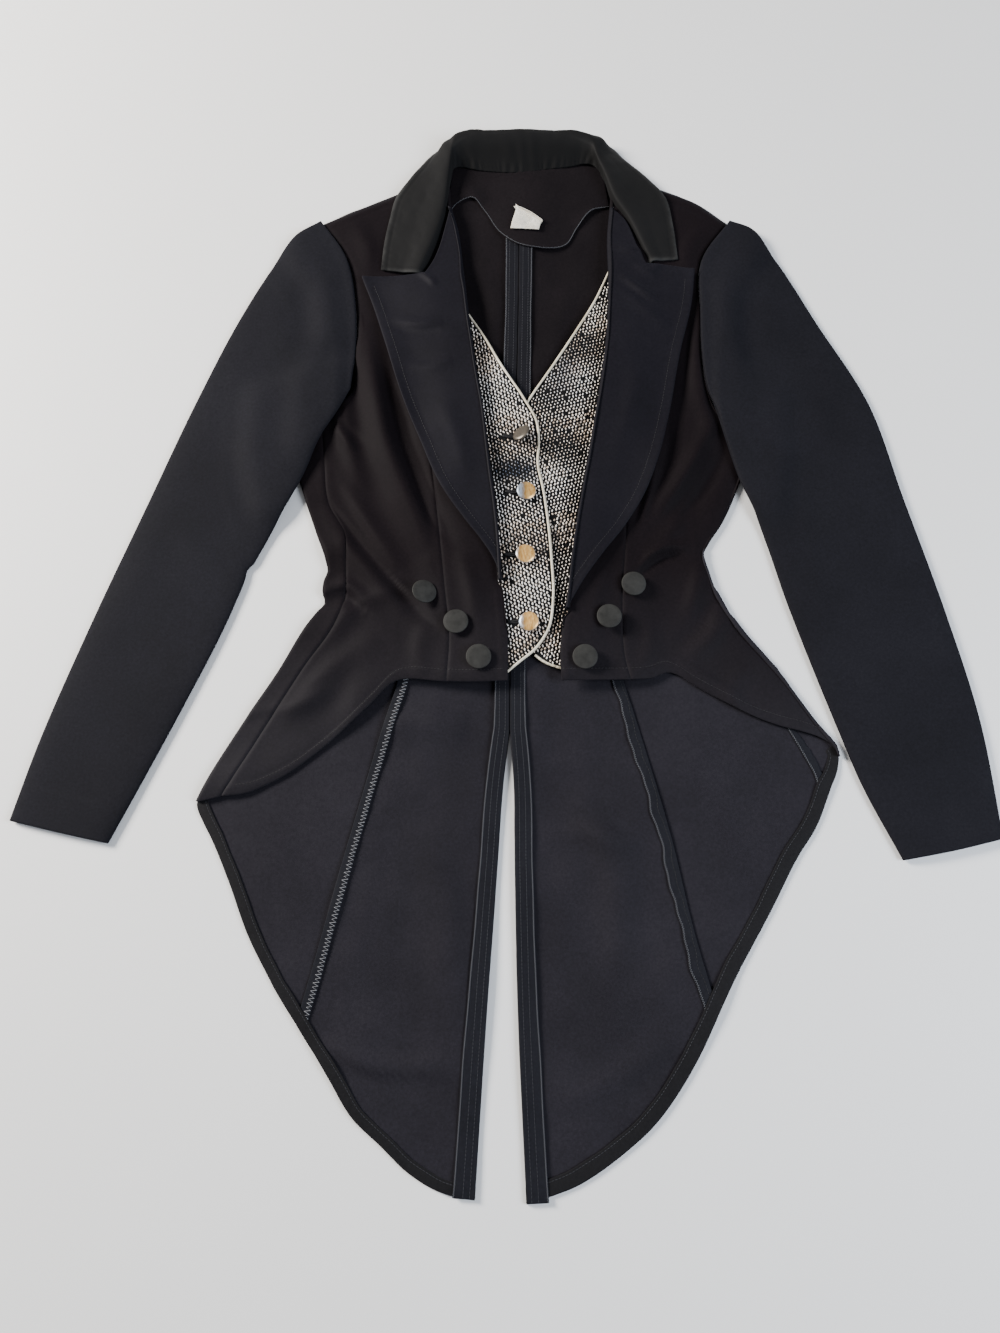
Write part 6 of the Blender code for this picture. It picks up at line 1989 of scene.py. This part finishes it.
@dataclass
class Lapels:
    """Peaked lapels on the fronts, each rolled at the fold line down to the front's underside."""

    rows: int = 130
    columns: int = 44
    roll: float = 1.8 * MM
    creases: list[Crease] = listed([
        Crease([(-108, 277), (-84, 270), (-57, 271)], 6, 4, 1.2),
        Crease([(-92, 227), (-70, 224), (-48, 231)], 5, 7, 1.0),
        Crease([(-104, 266), (-82, 261), (-60, 262)], 4, 4, -0.7),
        Crease([(-84, 330), (-74, 322), (-66, 312)], 4, 3, 1.2),
        Crease([(-58, 190), (-44, 150), (-34, 110)], 10, 8, 0.8),
        Crease([(-120, 300), (-100, 240), (-82, 196)], 9, 7, 0.7),
        Crease([(110, 358), (124, 354), (139, 351)], 4, 5, 1.3),
        Crease([(126, 338), (136, 331), (148, 324)], 4, 4, 1.0),
        Crease([(110, 325), (128, 311), (147, 297)], 5, 5, 1.5),
        Crease([(112, 318), (128, 304), (143, 293)], 3, 4, -0.8),
        Crease([(114, 304), (136, 288), (159, 268)], 6, 7, 1.2),
        Crease([(128, 232), (116, 180), (104, 140)], 11, 9, 0.9),
        Crease([(150, 340), (146, 334), (140, 331)], 3, 3, 0.9),
    ])

    def build(self, pile: Pile, drape: Drape, wardrobe: Wardrobe) -> None:
        """Lay both lapels."""
        for side in Side:
            self.lapel(side, pile, drape, wardrobe)

    def lapel(self, side: Side, pile: Pile, drape: Drape, wardrobe: Wardrobe) -> None:
        """One lapel: its plan lies on the front, and its inner side turns over the fold line.

        The turn is an arc of a circle from the top down to 50 degrees past its level, with half the
        height between the lapel and the front's underside as its radius.
        """
        p = PATTERNS[side]
        right = side is Side.RIGHT
        down = crowded(self.rows, 0.6, 0.4)
        outer = edge(p.lapel_outer, down)
        fold = edge([p.gorge[-1]] + p.fold_line[1:], down)
        away = square_to(fold) * (1 if right else -1)
        below = pile.softened(pile.height, 14 * MM)
        low = drape.low(fold) - 0.2 * MM
        lying_at_fold = pile.read(below, fold) + SEAM_GAP + FACED_WALL
        top_at_fold = np.maximum(lying_at_fold + 0.4 * MM, low + 2 * self.roll)
        radius = (top_at_fold - low) / 2
        centre = fold - away * radius[:, None]
        columns = crowded(self.columns, 0.8, 0.3)
        ahead = edge(p.peak_edge, crowded(18, 0.6, 0.3))
        top = chain(ahead, edge(p.gorge, crowded(self.columns - 17, 0.2, 0.3)))
        foot = at_shares(np.array([p.lapel_outer[-1], p.fold_line[-1]]) * MM, columns)
        plan = coons(outer, centre, top, foot)
        share = shares_of(top)[None, :]
        lying = pile.read(below, plan) + SEAM_GAP + FACED_WALL
        lying += (top_at_fold - lying_at_fold)[:, None] * share**2
        points = raised(plan, lying)
        outer_far, peak_far = edge_distance(points, Edge.FIRST), edge_distance(points, Edge.TOP)
        relief = turned_hem(outer_far, 8 * MM) * 0.9 + 0.8 * MM * bell(outer_far, 4 * MM)
        relief += 0.8 * MM * bell(peak_far, 4 * MM) * (1 - share)
        far_fold = edge_distance(points, Edge.LAST)
        lie = 1.8 * creased(plan, self.creases) + ripple(plan, 0.5, 90, 0.9 if right else 2.4)
        lie = np.maximum(lie + 0.5 * MM, 0)
        points[..., 2] += (relief + lie) * step_up(far_fold / (7 * MM))
        turn = np.radians(np.linspace(72, -55, 8))
        roll = centre[:, None] + away[:, None] * (radius[:, None] * np.cos(turn))[..., None]
        nose = raised(roll, low[:, None] + radius[:, None] * (1 + np.sin(turn)))
        points = np.concatenate([points, nose], axis=1)
        name = "lapel_cloth_" + side.value
        made = cloth(name, points, FACED_WALL, (60, 20, 1.0))
        dress(made, wardrobe.lapel, "wool", "lapel_" + side.value)
        body = points[:, : self.columns]
        edge_row = surface_path(body, Edge.FIRST, 8 * MM, 0.03, 0.94)
        extra = [dress(stitch_row(name + "_stitches", edge_row), wardrobe.thread, "wool")]
        declare(made, points)
        pile.lay(body)


@dataclass
class Collar:
    """The brushed collar: the stand inside the neck, the roll and the fall with its two ends."""

    # From its right end round the neck to its left end: outer edge of the fall, middle of the fall,
    # roll and lower edge of the stand, as x, y and z.
    sections: list[tuple[tuple[float, float, float], ...]] = listed([
        ((-120, 335, 8.5), (-101, 332, 9.5), (-82, 329, 10.5), (-80, 329, 7.5)),
        ((-118, 362, 8.5), (-95, 358, 10.5), (-73, 353, 12), (-71, 353, 7.5)),
        ((-113, 394, 8.5), (-87, 393, 11.5), (-61, 392, 14), (-58.5, 392, 7.5)),
        ((-107, 419, 9), (-81, 417, 12), (-58, 414, 15.5), (-55.5, 414, 7.5)),
        ((-98, 434, 9), (-76, 438, 12.5), (-56, 441, 17), (-53, 441, 8)),
        ((-84, 455, 8), (-69, 462, 12.5), (-54, 465, 18.5), (-49, 455, 8)),
        ((-66, 476, 4), (-60, 482, 11), (-51, 482, 20), (-41, 456, 7)),
        ((-43, 470, 0), (-48, 488, 6), (-37, 488, 20.5), (-30, 454, 6)),
        ((-18, 448, 0), (-16, 485, 0.4), (-15, 488, 20), (-12, 452, 5.5)),
        ((18, 446, 0), (18, 485, 0.4), (18, 489, 20.5), (17, 451, 5.5)),
        ((52, 449, 0), (50, 485, 0.4), (50, 488, 20), (45, 455, 5.5)),
        ((77, 470, 0), (84, 488, 6), (74, 487, 20.5), (68, 458, 6)),
        ((103, 484, 4), (97, 487, 11), (86, 482, 20), (80, 460, 7)),
        ((122, 462, 8), (107, 465, 12.5), (92, 463, 18.5), (88, 458, 8)),
        ((142, 441, 9), (120, 442, 12.5), (101, 440, 17), (98.5, 441, 8)),
        ((159, 419, 9), (132, 417, 12), (109, 414, 15.5), (106.5, 414, 7.5)),
        ((166, 385, 8.5), (143, 389, 11.5), (122, 392, 14), (120, 391, 7.5)),
        ((168, 362, 8.5), (150, 363, 10.5), (135.5, 361, 12), (133.5, 360, 7.5)),
        ((169, 347, 8.5), (155, 345, 9.5), (143, 343, 10.5), (141, 342, 7.5)),
    ])
    rows: int = 230
    columns: int = 56

    def build(self, wardrobe: Wardrobe) -> None:
        """Loft the sections, pucker the stand, rub the edges and paint shade on the stand."""
        table = np.array(self.sections, float) * MM
        curves = [smooth(table[:, k]) for k in range(4)]
        at = crowded(self.rows, 0.35, 0.35)
        lines = np.stack([
            np.stack([np.interp(at * (len(c) - 1), np.arange(len(c)), column) for column in c.T], axis=1)
            for c in curves
        ], axis=1)
        rows = np.stack([at_shares(smooth(section), crowded(self.columns, 0.6, 0.5)) for section in lines])
        rows[..., 2] = np.maximum(rows[..., 2], 0.1 * MM)
        n = normals(rows)
        if n[10, 12, 2] < 0:
            n = -n
        along = shares_of(rows[:, self.columns // 2])[:, None]
        share = shares_of(rows[self.rows // 2])[None, :]
        stand = step_up((share - 0.62) / 0.2)
        middle = step_up((along - 0.3) / 0.06) * (1 - step_up((along - 0.70) / 0.06))
        foot = edge_distance(rows, Edge.LAST)
        gathers = np.sin(along * 420 + share * 9 + 3 * np.sin(along * 60))
        pucker = 0.6 * MM * gathers * bell(foot - 3 * MM, 6 * MM) * middle
        pucker += 0.25 * MM * np.sin(along * 130 + 3 * np.sin(along * 37)) * stand * middle
        lie = np.abs(ripple(rows[..., :2], 0.6, 34, 0.7)) * (1 - stand)
        fall_edge = edge_distance(rows, Edge.FIRST)
        ends = np.minimum(edge_distance(rows, Edge.TOP), edge_distance(rows, Edge.BOTTOM))
        plump = 0.25 * MM * (bell(fall_edge - 2.2 * MM, 1.8 * MM) + bell(ends - 2.2 * MM, 1.8 * MM))
        groove = -0.16 * MM * (bell(fall_edge - 6 * MM, 1.2 * MM) + bell(ends - 6 * MM, 1.2 * MM))
        groove += 0.22 * MM * np.sin(along * 520 + 2 * np.sin(along * 90)) * bell(fall_edge - 4 * MM, 3 * MM)
        relief = pucker + lie * 0.6 + (plump + groove) * (1 - middle)
        clear = rows[..., 2] > 1.5 * MM
        rows = rows + n * (relief * clear)[..., None]
        roll = bell(share - 0.64, 0.03) * (0.65 + 0.35 * np.sin(along * 60))
        rubbed = bell(fall_edge, 2.4 * MM) + bell(ends, 2.2 * MM) + 0.2 * roll * middle
        # Paler where the edges are rubbed; below 0, painted shade on the stand's middle.
        wear_and_shade = 0.6 * np.clip(rubbed, 0, 1) - 0.7 * stand * middle
        made = cloth("collar_cloth", rows, FACED_WALL, (10, 12, 1.0), wear_and_shade)
        dress(made, wardrobe.collar, "collar_cloth", "collar")
        declare(made, rows)


@dataclass
class Sleeves:
    """Sleeves laid flat: open tubes of flattened sections from the armhole to the cuff."""

    rows: int = 170
    half: int = 40
    height: float = 6.2 * MM
    creases: list[Crease] = listed([
        Crease([(-196, 360), (-212, 300), (-206, 220)], 14, 18, 2.6),
        Crease([(-176, 330), (-170, 270), (-182, 214)], 8, 10, 1.6),
        Crease([(-262, 176), (-232, 140), (-196, 118)], 12, 16, 1.5),
        Crease([(-300, 66), (-268, 36), (-232, 20)], 9, 12, 1.5),
        Crease([(-262, 44), (-246, 30), (-228, 24)], 4, 5, -0.8),
        Crease([(-352, -60), (-326, -100), (-306, -136)], 16, 12, 0.9),
        Crease([(-290, 150), (-322, 40), (-356, -60)], 12, 16, 0.7),
        Crease([(236, 360), (256, 300), (240, 210)], 14, 18, 2.6),
        Crease([(210, 330), (210, 270), (220, 200)], 8, 10, 1.6),
        Crease([(306, 196), (276, 150), (240, 116)], 14, 16, 1.5),
        Crease([(271, 112), (277, 40), (283, -41)], 5, 4, 0.8),
        Crease([(352, 70), (320, 30), (286, 10)], 12, 14, 1.0),
        Crease([(388, -60), (360, -96), (326, -122)], 14, 16, 0.9),
    ])

    def build(self, pile: Pile, wardrobe: Wardrobe) -> None:
        """Lay both sleeves."""
        for side in Side:
            self.sleeve(side, pile, wardrobe)

    def sleeve(self, side: Side, pile: Pile, wardrobe: Wardrobe) -> None:
        """One sleeve: across each row the upper and lower halves bow apart as a flattened round.

        The upper half's height over the middle is half the sleeve's height times the swell, and the
        lower half's is the same, downward. The swell is one less the fifth power of the share from the
        middle to the fold, to the power of 0.4.
        """
        p = PATTERNS[side]
        down = crowded(self.rows, 0.7, 0.6)
        across = crowded(self.half, 0.97, 0.97)
        sides = edge(p.sleeve_outer, down), edge(p.sleeve_inner, down)
        plan = coons(*sides, edge(p.sleeve_head, across), edge(p.cuff, across))
        outline = np.concatenate([plan[:, 0], plan[-1], plan[::-1, -1], plan[0, ::-1]])
        off = np.abs(2 * shares_of(plan[self.rows // 2]) - 1)
        swell = (1 - np.clip(off, 0, 1) ** 5) ** 0.4
        swell[0] = swell[-1] = 0.0
        lift = pile.under(plan, inside=outline, reach=36 * MM)
        lift = np.where(lift > 0, lift + SEAM_GAP, 0.0)
        head = edge_distance(raised(plan, 0.0), Edge.TOP)
        cuff = edge_distance(raised(plan, 0.0), Edge.BOTTOM)
        half = self.height / 2
        flatter = 0.55 + 0.45 * step_up(head / (34 * MM))
        middle = lift + half * flatter
        lie = 0.4 * creased(plan, self.creases) + ripple(plan, 0.5, 210, 0.2 if side is Side.RIGHT else 1.9)
        lie = np.maximum(lie + 0.4 * MM, 0)
        seam = -0.5 * MM * bell(head, 1.0 * MM) + 0.2 * MM * bell(head - 5 * MM, 3.5 * MM)
        turning = 0.25 * MM * (1 - step_up((cuff - 30 * MM) / (2 * MM)))
        upper = middle + half * flatter * swell + (lie + turning) * swell + seam * swell
        lower = middle - half * flatter * swell + CONTACT
        top, bottom = raised(plan, upper), raised(plan, lower)
        rings = np.concatenate([top, bottom[:, -2:0:-1]], axis=1)
        name = "sleeve_cloth_" + side.value
        made = dress(tube_cloth(name, rings, WALL * 0.9), wardrobe.sleeve, "wool", "sleeve_" + side.value)
        declare(made, rings, around=True)


@dataclass
class FrontButtons:
    """The six dark buttons on the fronts, low domes with a rolled rim."""

    places: list[tuple[str, float, float, float, float]] = listed([
        # name, x, y, tilt and the direction it tilts to, in degrees
        ("front_button_r1", -72, 1, 20, 20),
        ("front_button_r2", -43, -27, 2, 120),
        ("front_button_r3", -23, -59, 2, 300),
        ("front_button_l1", 114, 10, 4, 320),
        ("front_button_l2", 91, -22, 2, 60),
        ("front_button_l3", 69, -59, 2, 250),
    ])
    profile: Table = listed([
        (0, 3.9), (3, 3.87), (6.4, 3.75), (8.6, 3.6), (9.4, 3.5), (9.8, 3.3), (10.2, 3.4), (10.7, 3.25),
        (11.0, 2.6), (10.6, 1.9), (9.0, 1.3), (5.0, 1.0), (3.4, 0.6), (3.0, 0.0), (0, 0),
    ])

    def build(self, pile: Pile, wardrobe: Wardrobe) -> None:
        """Set each button on the cloth below it."""
        for name, x, y, tilt, toward in self.places:
            centre = np.array([x, y]) * MM
            rest = pile.read(pile.height, centre + ring_plan(10 * MM)).max() + 0.2 * MM
            made = turned_button(name + "_turned", self.profile, centre, rest, tilt, toward, sides=56)
            dress(made, wardrobe.horn, "dark_button", name)


@dataclass(frozen=True)
class Studio:
    """Pale floor, soft lights and a camera that looks down 75 degrees."""

    floor_half: float = 3.0
    floor_level: float = -0.2 * MM
    camera_place: Triple = (-0.0045, -0.2909, 0.850)
    pitch: float = 15.0
    lens: float = 27.03

    def build(self) -> None:
        """Set the floor, the lights and the camera."""
        corners = np.array([[-1, -1], [1, -1], [1, 1], [-1, 1]]) * self.floor_half
        made = new_mesh("floor", raised(corners, self.floor_level), [[0, 1, 2, 3]])
        made.data.materials.append(floor_plain())
        self.light("key", (-1.95, 0.85, 1.20), 0.8, 158.0, (1.0, 0.955, 0.90))
        self.light("fill", (1.7, -0.5, 1.35), 1.1, 60.0, (0.80, 0.88, 1.0))
        world = bpy.data.worlds.new("studio")
        bpy.context.scene.world = world
        world.use_nodes = True
        sky = world.node_tree.nodes["Background"].inputs
        sky["Color"].default_value = (0.93, 0.95, 1.0, 1.0)
        sky["Strength"].default_value = 0.27
        camera = bpy.data.cameras.new("camera")
        camera.lens = self.lens
        camera.sensor_width = 36.0
        camera.clip_start = 0.02
        seen = bpy.data.objects.new("camera", camera)
        seen.location = self.camera_place
        seen.rotation_euler = (math.radians(self.pitch), 0, 0)
        bpy.context.scene.collection.objects.link(seen)
        bpy.context.scene.camera = seen

    def light(self, name: str, place: Triple, size: float, power: float, colour: Triple) -> None:
        """A square soft light that faces the coat's middle, with its size in metres and power in watts."""
        data = bpy.data.lights.new(name, "AREA")
        data.size = size
        data.energy = power
        data.color = colour
        made = bpy.data.objects.new(name, data)
        made.location = place
        x, y, z = place
        made.rotation_euler = (math.atan2(math.hypot(x, y), z), 0, math.atan2(y, x) + math.pi / 2)
        bpy.context.scene.collection.objects.link(made)


def main() -> None:
    """Lay the coat out from the table up, in the order in which its layers lie."""
    logging.basicConfig(level=logging.INFO, format="%(message)s")
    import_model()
    Studio().build()
    wardrobe = Wardrobe()
    pile = Pile()
    # The collar's fall lies on the table behind the neck, under the back.
    fall = np.array([[(-48, 444), (84, 444)], [(-48, 490), (84, 490)]], float) * MM
    pile.lay(raised(fall, WALL + 2 * SEAM_GAP))
    BackAndTails().build(pile, wardrobe)
    NeckFacing().build(pile, wardrobe)
    Waistcoat().build(pile, wardrobe)
    drape = Fronts().build(pile, wardrobe)
    FrontButtons().build(pile, wardrobe)
    Lapels().build(pile, drape, wardrobe)
    Collar().build(wardrobe)
    Sleeves().build(pile, wardrobe)


if __name__ == "__main__":
    main()
